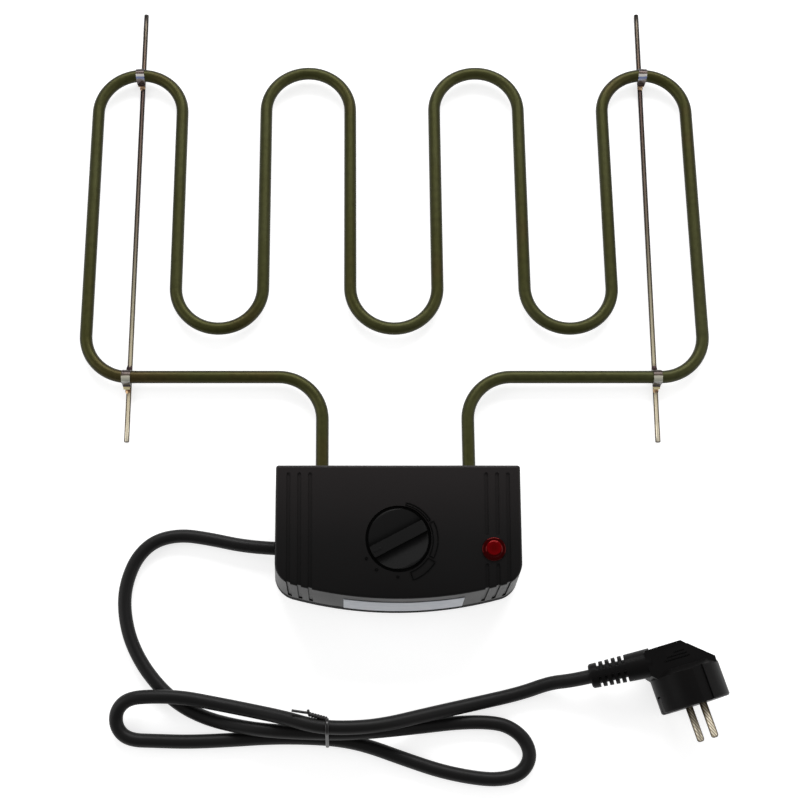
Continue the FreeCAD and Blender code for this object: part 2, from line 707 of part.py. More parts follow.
def upper_housing():
    outer = soften(block("upper_outer", parting, Size(0.0, "0")))
    rebate = block("rebate", parting, s.wall / 2, s.lip_height + s.lip_fit)
    shell = cut(outer, block("upper_inner", parting, s.wall), rebate)
    deep = s.well_depth + s.wall
    cup = cylinder(0, 0, -deep, s.well_dia / 2 + s.wall, deep - 0.5)
    bosses = [cylinder(x, y, -(deep + s.boss_length), s.boss_dia / 2, s.boss_length + 0.5)
              for x, y in bracket_bosses()]
    inside = [tilted(fuse(cup, *bosses), 0, knob_y, knob_z)]
    for x, y in posts():
        top = s.face_height - (box_rear - y) * face_slope - s.wall / 2
        inside.append(cylinder(x, y, parting, s.post_dia / 2, top - parting))
    well = cylinder(0, 0, -s.well_depth, s.well_dia / 2, s.well_depth + 5)
    hub = cylinder(0, 0, -(deep + 1), s.hub_dia / 2 + s.hub_gap, deep + 2)
    pilots = [cylinder(x, y, -(deep + s.boss_length + 1), s.screw_dia / 2 + s.screw_fit, s.boss_length + 0.5)
              for x, y in bracket_bosses()]
    lamp = cylinder(0, 0, -s.lamp_length, s.lamp_barrel / 2 + s.lamp_fit, s.lamp_length * 2)
    holes = [tilted(fuse(well, hub, *pilots), 0, knob_y, knob_z),
             tilted(lamp, lamp_x, lamp_y, lamp_z), grooves()]
    for x, y in posts():
        holes.append(cylinder(x, y, parting - 1, s.screw_dia / 2 + s.screw_fit, s.post_grip + 2))
    holes += notches()
    node("upper_housing", fuse(cut(fuse(shell, *inside), *holes), dial_scale()))


# Round holes on the parting plane for the two tubes and the cord
def notches():
    made = [cylinder(entry_x * side, box_rear - 8, tube_z, tube_r + s.tube_fit, 12, "y") for side in (-1, 1)]
    made.append(cylinder(s.box_width / -2 - 3, cord_y, parting, cord_r + s.cord_fit, 12, "x"))
    return made


def lower_housing():
    tray = cut(soften(block("lower_outer", Size(0.0, "0"), Size(0.0, "0"), parting)),
               block("lower_inner", s.wall, s.wall, parting))
    tongue = cut(block("lip_outer", parting, s.wall / 2 + s.lip_fit, s.lip_height),
                 block("lip_inner", parting, s.wall, s.lip_height * 2))
    rise = parting - s.wall
    inside = [cylinder(x, y, s.wall / 2, s.post_dia / 2, parting - s.wall / 2) for x, y in posts()]
    for side in (-1, 1):
        inside.append(box(entry_x * side - tube_r - s.wall, saddle_y, s.wall / 2, s.tube_dia + s.wall * 2,
                          s.saddle_width, rise + s.wall / 2))
    for x in (-s.clamp_screw_x, Size(0.0, "0"), s.clamp_screw_x):
        inside.append(cylinder(x, saddle_y + s.saddle_width / 2, s.wall / 2, s.post_dia / 2,
                               parting - s.wall / 2))
    west = s.box_width / -2 + s.cord_clamp_inset
    inside.append(box(west, cord_y - s.cord_clamp_span, s.wall / 2, s.cord_clamp_width,
                      s.cord_clamp_span * 2, rise + s.wall / 2))
    holes = notches()
    for side in (-1, 1):
        holes.append(cylinder(entry_x * side, saddle_y - 1, tube_z, tube_r, s.saddle_width + 2, "y"))
    holes.append(cylinder(west - 1, cord_y, parting, cord_r, s.cord_clamp_width + 2, "x"))
    for x, y in posts():
        holes.append(cylinder(x, y, -1, s.screw_dia / 2 + s.screw_fit, parting + 2))
        holes.append(cylinder(x, y, -1, s.screw_head / 2 + 0.1, s.head_height + 1.2))
    for x, size in ((-s.clamp_screw_x, s.screw_dia), (s.clamp_screw_x, s.screw_dia), (0, s.earth_dia)):
        holes.append(cylinder(x, saddle_y + s.saddle_width / 2, s.wall, size / 2 + s.screw_fit, parting))
    for side in (-1, 1):
        holes.append(cylinder(west + s.cord_clamp_width / 2, cord_y + s.cord_clamp_screw * side, s.wall,
                              s.screw_dia / 2 + s.screw_fit, parting))
    node("lower_housing", cut(fuse(tray, tongue, *inside), *holes))


def screw(x, y, head_under, length, diameter=None, head=None, height=None, up=1):
    diameter = diameter or s.screw_dia
    head = head or s.screw_head
    height = height or s.head_height
    shank = cylinder(x, y, head_under - length if up > 0 else head_under, diameter / 2, length)
    top = cylinder(x, y, head_under if up > 0 else head_under - height, head / 2, height)
    slot = box(x - head / 2, y - 0.4, head_under + height - 0.6 if up > 0 else head_under - height - 0.4,
               head, 0.8, 1.0)
    return cut(fuse(shank, top), slot)


def housing_fasteners():
    node("housing_screws", group(*[screw(x, y, s.head_height + 0.2, parting + s.post_grip - s.head_height,
                                         up=-1) for x, y in posts()]))


def rating_plate():
    half = s.label_width / 2
    window = box(s.label_shift - half, box_front - 5, parting + s.label_rise, s.label_width, 30, s.label_height)
    outer = block("plate_outer", parting, -s.label_thick - s.label_fit)
    skin = cut(outer, block("plate_inner", parting, -s.label_fit))
    node("rating_plate", common(window, skin))


# Tube ends
def tube_ends():
    seals = []
    pins = []
    sleeves = []
    half = s.tag_width / 2
    for side in (-1, 1):
        x = entry_x * side
        seal = cylinder(x, tube_end - s.seal_length, tube_z, tube_r, s.seal_length, "y")
        bore = cylinder(x, tube_end - s.seal_length - 1, tube_z, s.pin_dia / 2 + s.slip_fit,
                        s.seal_length + 2, "y")
        seals.append(cut(seal, bore))
        stem = cylinder(x, tube_end - s.pin_length, tube_z, s.pin_dia / 2, s.pin_length, "y")
        tag_y = tube_end - s.pin_length - s.tag_length
        tag = box(x - half, tag_y, tube_z - s.tag_thick / 2, s.tag_width, s.tag_length + s.tag_weld,
                  s.tag_thick)
        pins.append(fuse(stem, tag))
        sleeve = box(x - s.receptacle_width / 2, receptacle_y, tube_z - s.receptacle_thick / 2,
                     s.receptacle_width, s.receptacle_length, s.receptacle_thick)
        pocket = box(x - half - s.slip_fit * 2, tag_y - s.slip_fit * 6, tube_z - s.tag_thick / 2 - s.slip_fit,
                     s.tag_width + s.slip_fit * 4, s.tag_length * 2, s.tag_thick + s.slip_fit * 2)
        sleeves.append(cut(sleeve, pocket))
    node("end_seals", group(*seals))
    node("terminal_pins", group(*pins))
    node("heater_receptacles", group(*sleeves))


# A sheet saddle that holds both tubes down on the lower housing
def tube_clamp():
    reach = entry_x + s.saddle_span
    sheet_metal = [box(-reach, saddle_y, parting, reach * 2, s.saddle_width, s.saddle_thick)]
    inner = []
    for side in (-1, 1):
        x = entry_x * side
        sheet_metal.append(cylinder(x, saddle_y, tube_z, tube_r + s.saddle_thick, s.saddle_width, "y"))
        inner.append(cylinder(x, saddle_y - 1, tube_z, tube_r, s.saddle_width + 2, "y"))
    middle = saddle_y + s.saddle_width / 2
    inner.append(box(-reach - 1, saddle_y - 1, 0, reach * 2 + 2, s.saddle_width + 2, parting))
    for x, size in ((-s.clamp_screw_x, s.screw_dia), (s.clamp_screw_x, s.screw_dia), (0, s.earth_dia)):
        inner.append(cylinder(x, middle, 0, size / 2 + s.screw_fit, parting * 2))
    node("tube_clamp", cut(fuse(*sheet_metal), *inner))
    top = parting + s.saddle_thick
    grip = top - s.wall - s.slip_fit * 4
    node("clamp_screws", group(*[screw(s.clamp_screw_x * side, middle, top, grip) for side in (-1, 1)]))
    half = s.terminal_width / 2
    ring = cylinder(0, middle, top, s.earth_dia, s.terminal_thick)
    neck = box(-half, saddle_y - s.crimp_offset - 1, top, s.terminal_width, s.crimp_offset + 3,
               s.terminal_thick)
    crimp_z = top + s.core_dia / 2 + s.slip_fit * 4
    crimp_y = saddle_y - s.crimp_offset - s.crimp_length
    crimp = cylinder(0, crimp_y, crimp_z, half, s.crimp_length, "y")
    eye = cylinder(0, middle, top - 1, s.earth_dia / 2 + s.slip_fit, s.terminal_thick + 2)
    bore = cylinder(0, crimp_y - 1, crimp_z, s.core_dia / 2 + s.slip_fit, s.crimp_length, "y")
    node("earth_terminal", cut(fuse(ring, neck, crimp), eye, bore))
    node("earth_screw", screw(0, middle, top + s.terminal_thick, grip, s.earth_dia, s.earth_dia * 1.9,
                              s.earth_dia / 2))


# Cord clamp
def cord_clamp():
    west = s.box_width / -2 + s.cord_clamp_inset
    bar = box(west, cord_y - s.cord_clamp_span, parting, s.cord_clamp_width, s.cord_clamp_span * 2,
              s.cord_clamp_rise)
    holes = [cylinder(west - 1, cord_y, parting, cord_r, s.cord_clamp_width + 2, "x")]
    screws = []
    for side in (-1, 1):
        x = west + s.cord_clamp_width / 2
        y = cord_y + s.cord_clamp_screw * side
        holes.append(cylinder(x, y, parting - 1, s.screw_dia / 2 + s.screw_fit, 20))
        screws.append(screw(x, y, parting + s.cord_clamp_rise, s.cord_clamp_rise + parting - s.wall - 0.2))
    node("cord_clamp", cut(bar, *holes))
    node("cord_clamp_screws", group(*screws))


# Thermostat, in the frame of the sloping face at the knob
def local(label, obj):
    return node(label, tilted(obj, 0, knob_y, knob_z))


well_under = -(s.well_depth + s.wall)
bracket_top = well_under - s.boss_length
bracket_under = bracket_top - s.plate_thick
bush_top = bracket_top + s.bush_head
spindle_top = -s.spindle_below
spindle_end = spindle_top - s.spindle_length
blade_top = bracket_under - s.stack_drop
blade_under = blade_top - s.blade_thick
fixed_top = blade_under - s.contact_thick * 2 - s.contact_gap
fixed_under = fixed_top - s.strip_thick
bimetal_top = fixed_under - s.bimetal_drop
bimetal_under = bimetal_top - s.bimetal_thick
hinge_x = s.stack_offset - s.stack_dia / 2
tag_x = s.stack_offset + s.stack_dia / 2 + s.tag_weld


def thermostat():
    plate = box(-s.plate_back, s.plate_width / -2, bracket_under, s.plate_back + s.plate_front, s.plate_width,
                s.plate_thick)
    holes = [cylinder(0, 0, bracket_under - 1, s.bush_dia / 2 + s.slip_fit, 5),
             cylinder(s.stack_offset, 0, bracket_under - 1, s.rivet_dia / 2 + s.slip_fit, 5)]
    holes += [cylinder(x, y, bracket_under - 1, s.screw_dia / 2 + s.screw_fit, 5) for x, y in bracket_bosses()]
    local("thermostat_bracket", cut(plate, *holes))
    local("bracket_screws", group(*[screw(x, y, bracket_under, s.boss_length, up=-1)
                                    for x, y in bracket_bosses()]))
    flange = cylinder(0, 0, bracket_top, s.bush_flange / 2, s.bush_head)
    shank = cylinder(0, 0, bracket_under - s.bush_tail, s.bush_dia / 2, s.bush_tail + s.plate_thick + 0.2)
    bore = cylinder(0, 0, bracket_under - 10, s.spindle_dia / 2 + s.spindle_fit, 20)
    local("spindle_bush", cut(fuse(flange, shank), bore))
    shaft = cylinder(0, 0, spindle_end, s.spindle_dia / 2, s.spindle_length)
    collar = cylinder(0, 0, bush_top + s.end_play, s.collar_dia / 2, s.collar_thick)
    flat_low = bush_top + s.end_play + s.collar_thick
    flat = box(s.spindle_dia / 2 - s.spindle_flat, -5, flat_low, 5, 10, 20)
    local("spindle", cut(fuse(shaft, collar), flat))


def contact_stack():
    x = s.stack_offset
    washers = []
    bore = s.rivet_dia / 2 + s.slip_fit
    for top, under in ((bracket_under, blade_top), (blade_under, fixed_top), (fixed_under, bimetal_top)):
        ring = cylinder(x, 0, under, s.stack_dia / 2, top - under)
        washers.append(cut(ring, cylinder(x, 0, under - 1, bore, top - under + 2)))
    local("ceramic_washers", group(*washers))
    head = cylinder(x, 0, bracket_top, s.rivet_dia, 1.0)
    shank = cylinder(x, 0, bimetal_under - 0.5, s.rivet_dia / 2, bracket_top - bimetal_under + 1)
    foot = cylinder(x, 0, bimetal_under - 1, s.rivet_dia, 1.0)
    local("stack_rivet", fuse(head, shank, foot))
    half = s.blade_width / 2
    tag_y = -s.tag_side - s.tag_width
    eye = cylinder(x, 0, bimetal_under, bore, -bimetal_under)
    strip = box(hinge_x, -half, blade_under, tag_x - hinge_x, s.blade_width, s.blade_thick)
    bridge = box(tag_x - s.tag_weld, -half, blade_under, s.tag_weld, half - tag_y, s.blade_thick)
    tag = box(tag_x - s.slip_fit, s.tag_side, blade_under, s.tag_length, s.tag_width, s.tag_thick)
    local("blade_root", cut(fuse(strip, bridge, tag), eye))
    contact_x = x - s.contact_offset
    strip = box(contact_x - half, -half, fixed_under, tag_x - contact_x + half, s.blade_width, s.strip_thick)
    bridge = box(tag_x - s.tag_weld, tag_y, fixed_under, s.tag_weld, half - tag_y, s.strip_thick)
    tag = box(tag_x - s.slip_fit, tag_y, fixed_under, s.tag_length, s.tag_width, s.strip_thick)
    rivet = cylinder(contact_x, 0, fixed_top, s.contact_dia / 2, s.contact_thick)
    local("fixed_contact", cut(fuse(strip, bridge, tag, rivet), eye))
    wide = s.bimetal_width / 2
    leaf = box(-s.boss_front, -wide, bimetal_under, tag_x + s.boss_front - s.tag_weld, s.bimetal_width,
               s.bimetal_thick)
    local("bimetal_strip", cut(leaf, cylinder(x, 0, bimetal_under - 1, bore, -bimetal_under)))
    pin_top = blade_under - s.pin_gap
    local("bimetal_pin", cylinder(-s.spindle_dia, 0, bimetal_top, 1.0, pin_top - bimetal_top))


# The springy blade between the spindle and the contacts
def contact_blade():
    half = s.blade_width / 2
    tip = s.stack_offset - s.blade_reach
    leaf = box(tip, -half, blade_under, hinge_x - s.blade_split - tip, s.blade_width, s.blade_thick)
    button = cylinder(0, 0, blade_top, s.button_dia / 2, spindle_end - s.button_gap - blade_top)
    contact = cylinder(s.stack_offset - s.contact_offset, 0, blade_under - s.contact_thick,
                       s.contact_dia / 2, s.contact_thick)
    local("contact_blade", fuse(leaf, button, contact))


def thermostat_receptacles():
    start = tag_x + s.tag_length - s.receptacle_grip
    sleeves = []
    for sign, level, thick in ((1, blade_under, s.tag_thick), (-1, fixed_under, s.strip_thick)):
        middle = (s.tag_side + s.tag_width / 2) * sign
        sleeve = box(start, middle - s.receptacle_width / 2, level + thick / 2 - s.receptacle_thick / 2,
                     s.receptacle_length, s.receptacle_width, s.receptacle_thick)
        pocket = box(start - 1, middle - s.tag_width / 2 - s.slip_fit * 2, level - s.slip_fit,
                     s.receptacle_grip + 1.5, s.tag_width + s.slip_fit * 4, thick + s.slip_fit * 2)
        sleeves.append(cut(sleeve, pocket))
    local("thermostat_receptacles", group(*sleeves))


# Knob: a round cap with two sloping finger pockets that leave a grip bar, and a hub with a D bore
def knob():
    r = s.knob_dia / 2
    low = s.knob_proud - s.knob_thick
    cap = cylinder(0, 0, low, r, s.knob_thick - s.knob_bevel)
    crown = cone(0, 0, s.knob_proud - s.knob_bevel, r, r - s.knob_bevel, s.knob_bevel)
    hub_low = low - s.hub_length
    hub = cylinder(0, 0, hub_low, s.hub_dia / 2, s.hub_length + 0.5)
    bore = cylinder(0, 0, hub_low - 1, s.spindle_dia / 2 + s.spindle_fit, spindle_top - hub_low + 1.2)
    land = box(s.spindle_dia / 2 - s.spindle_flat + s.spindle_fit, -s.spindle_dia, hub_low - 2,
               s.spindle_dia, s.spindle_dia * 2, s.knob_thick * 4)
    pockets = []
    reach = r - s.grip_width / 2 - s.grip_rim
    rise = math.degrees(math.atan2(float(s.grip_depth), float(reach)))
    for turn in (0, 180):
        floor = place(group(box(0, -r - 1, 0, r * 1.5, r * 2 + 2, s.knob_thick * 2)), s.grip_width / 2, 0,
                      s.knob_proud - s.grip_depth, V(0, 1, 0), -rise)
        beside = box(s.grip_width / 2, -r - 1, low, r * 2, r * 2 + 2, s.knob_thick * 3)
        pockets.append(turned(common(floor, beside), V(0, 0, 1), s.grip_angle + 90 + turn))
    pointer = turned(box(s.pointer_inset - r, s.pointer_width / -2, s.knob_proud - s.knob_bevel, s.pointer_length,
                         s.pointer_width, s.knob_bevel + s.pointer_height), V(0, 0, 1), s.grip_angle)
    local("knob", fuse(cut(fuse(cap, crown, hub), cut(bore, land), *pockets), pointer))


# Pilot lamp, in the frame of the sloping face at the lamp
def lamp():
    def seat(label, obj):
        return node(label, tilted(obj, lamp_x, lamp_y, lamp_z))
    r = s.lamp_barrel / 2
    outer = s.lamp_bezel / 2
    half = s.lamp_rise / 2
    bezel = cylinder(0, 0, 0, outer, half)
    slope = cone(0, 0, half, outer, outer - half, half)
    facet = cone(0, 0, s.lamp_rise, s.lamp_facet / 2, s.lamp_facet / 2 - half, half)
    barrel = cylinder(0, 0, -s.lamp_length, r, s.lamp_length + half)
    bore = cylinder(0, 0, -s.lamp_length - 1, r - s.lamp_wall, s.lamp_length + half)
    seat("lamp_lens", cut(fuse(bezel, slope, facet, barrel), bore))
    ring = cylinder(0, 0, -s.wall - s.lamp_wall, r + s.lamp_wall * 1.5, s.lamp_wall)
    seat("lamp_retainer", cut(ring, cylinder(0, 0, -s.lamp_length, r + s.slip_fit, s.lamp_length * 2)))
    bulb = r / 2
    neck = bulb - s.lamp_wall / 2
    end = -s.lamp_length - s.lamp_wall
    glass = cylinder(0, 0, -s.lamp_length + s.lamp_wall, bulb, s.lamp_length - s.lamp_wall * 2.5)
    seat("neon_bulb", fuse(glass, cylinder(0, 0, end, neck, s.lamp_wall * 3)))
    plug = cylinder(0, 0, end - s.lamp_wall / 2, r - s.lamp_wall - s.slip_fit, s.lamp_wall * 2)
    seat("lamp_base", cut(plug, cylinder(0, 0, end - s.lamp_wall, neck + s.slip_fit, s.lamp_length)))


# Inner wiring
def wiring():
    x0 = float(s.cord_inside) - float(s.box_width) / 2
    y0 = float(cord_y)
    z0 = float(parting)
    side = float(entry_x)
    end_y = float(receptacle_y)
    lay = float(s.core_lay)
    spread = float(s.core_spread)
    low = float(s.wall + s.core_dia / 2) + 0.1
    crimp_y = float(saddle_y - s.crimp_offset) - 1
    crimp_z = z0 + float(s.saddle_thick + s.core_dia / 2 + s.slip_fit * 4)

    def core(label, *points):
        node(label, pipe_feature(label, points, float(s.core_dia)))

    # a point of the thermostat's own frame in the frame of the unit
    def world(x, y, z):
        tilt = math.radians(float(s.face_tilt))
        return (x, float(knob_y) + y * math.cos(tilt) - z * math.sin(tilt),
                float(knob_z) + y * math.sin(tilt) + z * math.cos(tilt))
    tip = float(tag_x + s.tag_length - s.receptacle_grip + s.receptacle_length)
    across = float(s.tag_side + s.tag_width / 2)
    fixed = world(tip, -across, float(fixed_under + s.strip_thick / 2))
    moving = world(tip, across, float(blade_under + s.tag_thick / 2))
    core("neutral_core", (x0, y0 - spread * 0.87, z0 - spread * 0.5),
         (x0 + lay * 0.6, y0 - spread * 0.87, z0 - spread * 0.5), (x0 + lay * 1.3, y0 - lay, z0 - spread * 0.2),
         (-side, y0 - lay * 1.05, z0), (-side, end_y, z0))
    core("earth_core", (x0, y0 + spread * 0.87, z0 - spread * 0.5),
         (x0 + lay * 0.5, y0 + spread * 0.87, z0 - spread * 0.5), (x0 + lay * 0.9, y0 + lay * 1.2, low),
         (x0 + lay * 1.1, y0 + lay * 2.8, low), (x0 + lay * 2.6, y0 + lay * 3.8, low),
         (side * -0.5, y0 + lay * 3.9, low), (side * -0.19, crimp_y - lay * 2.2, z0 - lay * 0.3),
         (0, crimp_y - lay * 1.6, crimp_z), (0, crimp_y, crimp_z))
    core("live_core", (x0, y0, z0 + spread), (x0 + lay * 0.5, y0, z0 + spread),
         (x0 + lay * 0.9, y0 - lay * 1.3, z0 + spread * 1.4), (x0 + lay * 1.9, y0 - lay * 2.5, z0),
         (x0 + lay * 5, y0 - lay * 2.6, z0 - lay * 0.4), (side * 0.33, y0 - lay * 2.4, z0 - lay * 0.4),
         (side * 0.83, y0 - lay * 2.3, z0 + lay * 0.2), (side * 1.09, y0 - lay * 2, z0 + lay),
         (tip + lay * 2.8, fixed[1] - lay * 0.5, fixed[2] - lay * 0.6),
         (tip + lay * 1.2, fixed[1], fixed[2]), fixed)
    core("switched_core", moving, (tip + lay, moving[1], moving[2]),
         (tip + lay * 2.6, moving[1] - lay * 0.2, z0 + lay * 1.5),
         (tip + lay * 2.4, y0 - lay * 0.2, z0 + lay * 0.4),
         (side + lay * 0.3, y0 - lay * 0.9, z0), (side, y0 - lay * 0.3, z0), (side, end_y, z0))


# Mains cord, twist tie and plug
# The cord leaves the box, is laid up and tied, and ends at the plug. Points that its path passes near.
CORD = [
    (-122.2, -147.2, 4.2), (-136.8, -150.4, 3.9), (-146.6, -159.9, 3.9), (-151.7, -173.5, 3.9),
    (-152.8, -186.0, 3.9), (-150.5, -199.9, 3.9), (-145.8, -212.1, 3.9), (-138.3, -224.2, 3.9),
    (-128.0, -235.6, 3.9), (-116.6, -244.0, 3.9), (-103.3, -249.9, 4.4), (-87.2, -254.0, 8.5),
    (-70.5, -256.6, 12.9), (-49.4, -257.7, 13.7), (-28.9, -258.1, 13.7), (-9.9, -256.8, 12.6),
    (14.0, -253.8, 5.6), (33.0, -251.5, 4.0), (49.9, -251.3, 3.9), (60.5, -253.4, 3.9),
    (69.3, -260.3, 3.9), (72.3, -269.8, 3.9), (67.0, -278.6, 3.9), (55.6, -281.8, 3.9),
    (42.6, -281.2, 3.9), (23.2, -277.5, 3.9), (3.2, -270.9, 3.9), (-16.9, -263.8, 4.4),
    (-33.0, -260.6, 5.1), (-52.0, -259.6, 5.1), (-70.9, -259.6, 4.4), (-92.7, -261.0, 3.9),
    (-113.9, -261.9, 3.9), (-131.5, -261.4, 3.9), (-146.9, -260.9, 3.9), (-153.9, -254.4, 4.7),
    (-153.9, -245.4, 7.9), (-147.1, -239.1, 11.2), (-132.5, -238.3, 13.0), (-117.4, -238.9, 13.0),
    (-102.8, -241.4, 11.6), (-81.3, -245.6, 12.6), (-60.5, -250.4, 19.0), (-45.0, -255.0, 22.4),
    (-28.8, -256.0, 22.5), (-9.0, -254.4, 20.4), (16.5, -247.8, 12.4), (43.4, -241.4, 5.4),
    (68.0, -235.8, 4.0), (83.6, -230.4, 6.6),
]
CORD_START = (-106.1, -149.6, 4.9)


def mains_cord():
    wall_x = float(s.box_width) / -2
    level = float(parting)
    inner = (wall_x + float(s.cord_inside), float(cord_y), level)
    gate = (wall_x - 2, float(cord_y), level)
    near = (wall_x - 15.2, float(cord_y) + 0.9, level - 0.7)
    points = [inner, gate, near, CORD_START] + CORD + [sleeve_point(10.0), sleeve_point(0.0)]
    solid, radii = pipe(points, s.cord_dia)
    print("cord radii", [round(r) for r in radii])
    made = doc.addObject("Part::Feature", "cord")
    made.Shape = solid
    node("mains_cord", made)


# The plug stands on the rim of its round head. Its frame has x along the face, y to the back of the
# head and z up, from the middle of the face.
PLUG_AT = (160.25, -243.5)
SLEEVE_BACK = 28.0
SLEEVE_SIDE = 175.0


def plug_frame():
    return FreeCAD.Placement(V(PLUG_AT[0], PLUG_AT[1], float(s.plug_dia) / 2),
                             FreeCAD.Rotation(V(0, 0, 1), float(s.plug_yaw)))


def sleeve_frame():
    down = FreeCAD.Rotation(V(0, 1, 0), 90 + float(s.sleeve_slope))
    turn = FreeCAD.Rotation(V(0, 0, 1), SLEEVE_SIDE).multiply(down)
    return FreeCAD.Placement(V(-float(s.plug_dia) / 2 + 3.5, SLEEVE_BACK, 2.0), turn)


# A point on the sleeve's axis, that far beyond its end
def sleeve_point(beyond):
    spot = plug_frame().multVec(sleeve_frame().multVec(V(0, 0, float(s.sleeve_length) + beyond)))
    return (spot.x, spot.y, spot.z)


# The sleeve along its own z: a cone with slots on both sides, which let it bend, and a plain strip
# between them above and below
def plug_sleeve():
    root_r = s.sleeve_root / 2
    tip_r = s.sleeve_tip / 2
    bevel = s.plug_round
    shell = cone(0, 0, 0, root_r, tip_r, s.sleeve_length - bevel)
    end = cone(0, 0, s.sleeve_length - bevel, tip_r, tip_r - bevel, bevel)
    strip = box(-root_r - 1, s.sleeve_strip / -2, 0, s.sleeve_root + 2, s.sleeve_strip, s.sleeve_length)
    core = cylinder(0, 0, 0, tip_r - s.sleeve_slot_depth, s.sleeve_length)
    slots = []
    for i in range(5):
        level = s.sleeve_length - s.sleeve_collar - s.sleeve_slot - s.sleeve_slot_pitch * i
        slots.append(cylinder(0, 0, level, root_r + 1, s.sleeve_slot))
    made = group(cut(fuse(shell, end), cut(fuse(*slots), strip, core)))
    made.Placement = sleeve_frame()
    return made


# The rear part of the head: its outline from above slants from the round part to the rear edge, it
# narrows towards the sleeve, and above and below it has a lower strip along the rear edge and three
# finger grooves of growing length
def plug_rear():
    r = s.plug_dia / 2
    half = s.plug_back / 2
    left = -r - 0.5
    depth = s.plug_depth
    start = s.plug_face
    body = doc.addObject("PartDesign::Body", "plug_rear")
    outline = sketch_on(body, "XY_Plane", -half)
    draw(outline, [(left + s.plug_strip, start), (left, start + s.plug_strip), (left, depth - 1),
                   (left + 1, depth), (s.plug_strip / 2, depth), (s.plug_strip * 1.5, depth - s.plug_strip),
                   (s.plug_dia * 0.42, s.plug_drum), (s.plug_dia * 0.42, start)])
    pad(body, outline, s.plug_back)
    doc.recompute()
    cuts = []
    neck = s.plug_neck / 2
    for side in (1, -1):
        slope = doc.addObject("PartDesign::Body", "plug_slope")
        outline = sketch_on(slope, "XZ_Plane", -depth - 1)
        draw(outline, [(left - 1, neck * side), (left, neck * side), (left / 2, half * side),
                       (left / 2, (half + 1) * side), (left - 1, (half + 1) * side)])
        pad(slope, outline, depth + 1)
        cuts.append(slope)
    doc.recompute()
    for level, floor in ((half - s.plug_step, half - s.plug_groove), (-half - 1, -half - 1)):
        cuts.append(box(-r, depth - s.plug_strip, level, s.plug_dia, s.plug_strip + 1, s.plug_step + 1))
        for i in range(3):
            length = s.plug_groove_length * (1 + 0.9 * i)
            back = depth - s.plug_strip - s.plug_groove_pitch * (i + 1.8)
            cuts.append(box(s.plug_strip * (0.4 + 0.4 * i) - length, back, floor, length, s.plug_groove,
                            s.plug_groove + 1))
    return cut(body, *cuts)


# What is taken off the round part, above or below, so that it slopes down to the rear part
def plug_ramp(side):
    top = (s.plug_dia / 2 + 1) * side
    foot = s.plug_back / 2 * side
    body = doc.addObject("PartDesign::Body", "plug_ramp")
    outline = sketch_on(body, "YZ_Plane", s.plug_dia / -2)
    draw(outline, [(s.plug_face, s.plug_dia / 2 * side), (s.plug_drum, foot), (s.plug_drum + 1, foot),
                   (s.plug_drum + 1, top), (s.plug_face, top)])
    pad(body, outline, s.plug_dia)
    doc.recompute()
    return body


def plug():
    r = s.plug_dia / 2
    bevel = s.plug_drum - s.plug_side
    drum = fuse(cylinder(0, s.plug_round, 0, r, s.plug_side - s.plug_round, "y"),
                cone(0, s.plug_side, 0, r, r - bevel, bevel, "y"),
                cone(0, 0, 0, r - s.plug_round, r, s.plug_round, "y"))
    moulding = fuse(cut(drum, plug_ramp(1), plug_ramp(-1)), plug_rear(), plug_sleeve())
    holes = []
    pins = []
    contacts = []
    pin_r = s.plug_pin_dia / 2
    shank_r = s.plug_shank_dia / 2
    straight = s.plug_pin_length - s.plug_pin_tip
    strip = s.contact_strip
    floor = r - s.contact_depth
    for turn in (0, 180):
        toward = s.plug_roll + turn
        x = s.plug_pin_pitch / 2 * cosine(toward)
        z = s.plug_pin_pitch / 2 * sine(toward)
        holes.append(cylinder(x, -1, z, shank_r, s.plug_shank + 1, "y"))
        pins.append(fuse(cylinder(x, -straight, z, pin_r, straight, "y"),
                         cone(x, -s.plug_pin_length, z, pin_r - s.plug_round, pin_r, s.plug_pin_tip, "y"),
                         cylinder(x, -1, z, shank_r, s.plug_shank + 1, "y")))
        guide = box(r - s.plug_guide_depth, -1, s.plug_guide / -2, s.plug_guide_depth * 2, s.plug_drum - 1,
                    s.plug_guide)
        holes.append(turned(guide, V(0, 1, 0), -toward))
        contact = box(floor, 0.5, strip / -2, s.terminal_thick, s.contact_length, strip)
        contacts.append(turned(contact, V(0, 1, 0), -toward - 90))
        bed = box(floor, -1, strip / -2, s.contact_depth + 1, s.contact_length + 1.5, strip)
        holes.append(turned(bed, V(0, 1, 0), -toward - 90))
    made = node("plug_body", cut(moulding, *holes))
    made.Placement = plug_frame()
    for label, solids in (("plug_pins", pins), ("plug_earth_contacts", contacts)):
        made = node(label, group(*solids))
        made.Placement = plug_frame()


# A paper-covered wire, wound once round the three strands of the cord, its end turned aside
TIE_LOW = (-38.6, -260.3, 5.1)
TIE_HIGH = (-38.6, -255.4, 22.4)
TIE_TAIL = ((-4.0, 1.2, 1.6), (-20.0, 2.6, 2.4))


def twist_tie():
    low = V(*TIE_LOW)
    high = V(*TIE_HIGH)
    ahead = (high - low).normalize()
    aside = V(0, -ahead.z, ahead.y)
    r = float(cord_r + s.tie_fit + s.tie_wire / 2)
    lower = [low + aside * r, low - ahead * r, low - aside * r]
    upper = [high - aside * r, high + ahead * r, high + aside * r]
    loop = Part.Wire([Part.LineSegment(lower[2], upper[0]).toShape(), Part.Arc(*upper).toShape(),
                      Part.LineSegment(upper[2], lower[0]).toShape(), Part.Arc(*lower).toShape()])
    ring = Part.Wire(Part.makeCircle(float(s.tie_wire) / 2, lower[2], ahead))
    band = loop.makePipeShell([ring], True, False)
    start = upper[0]
    tail = pipe([tuple(start)] + [tuple(start + V(*step)) for step in TIE_TAIL], s.tie_wire)[0]
    made = doc.addObject("Part::Feature", "tie")
    made.Shape = band.fuse(tail)
    node("twist_tie", made)


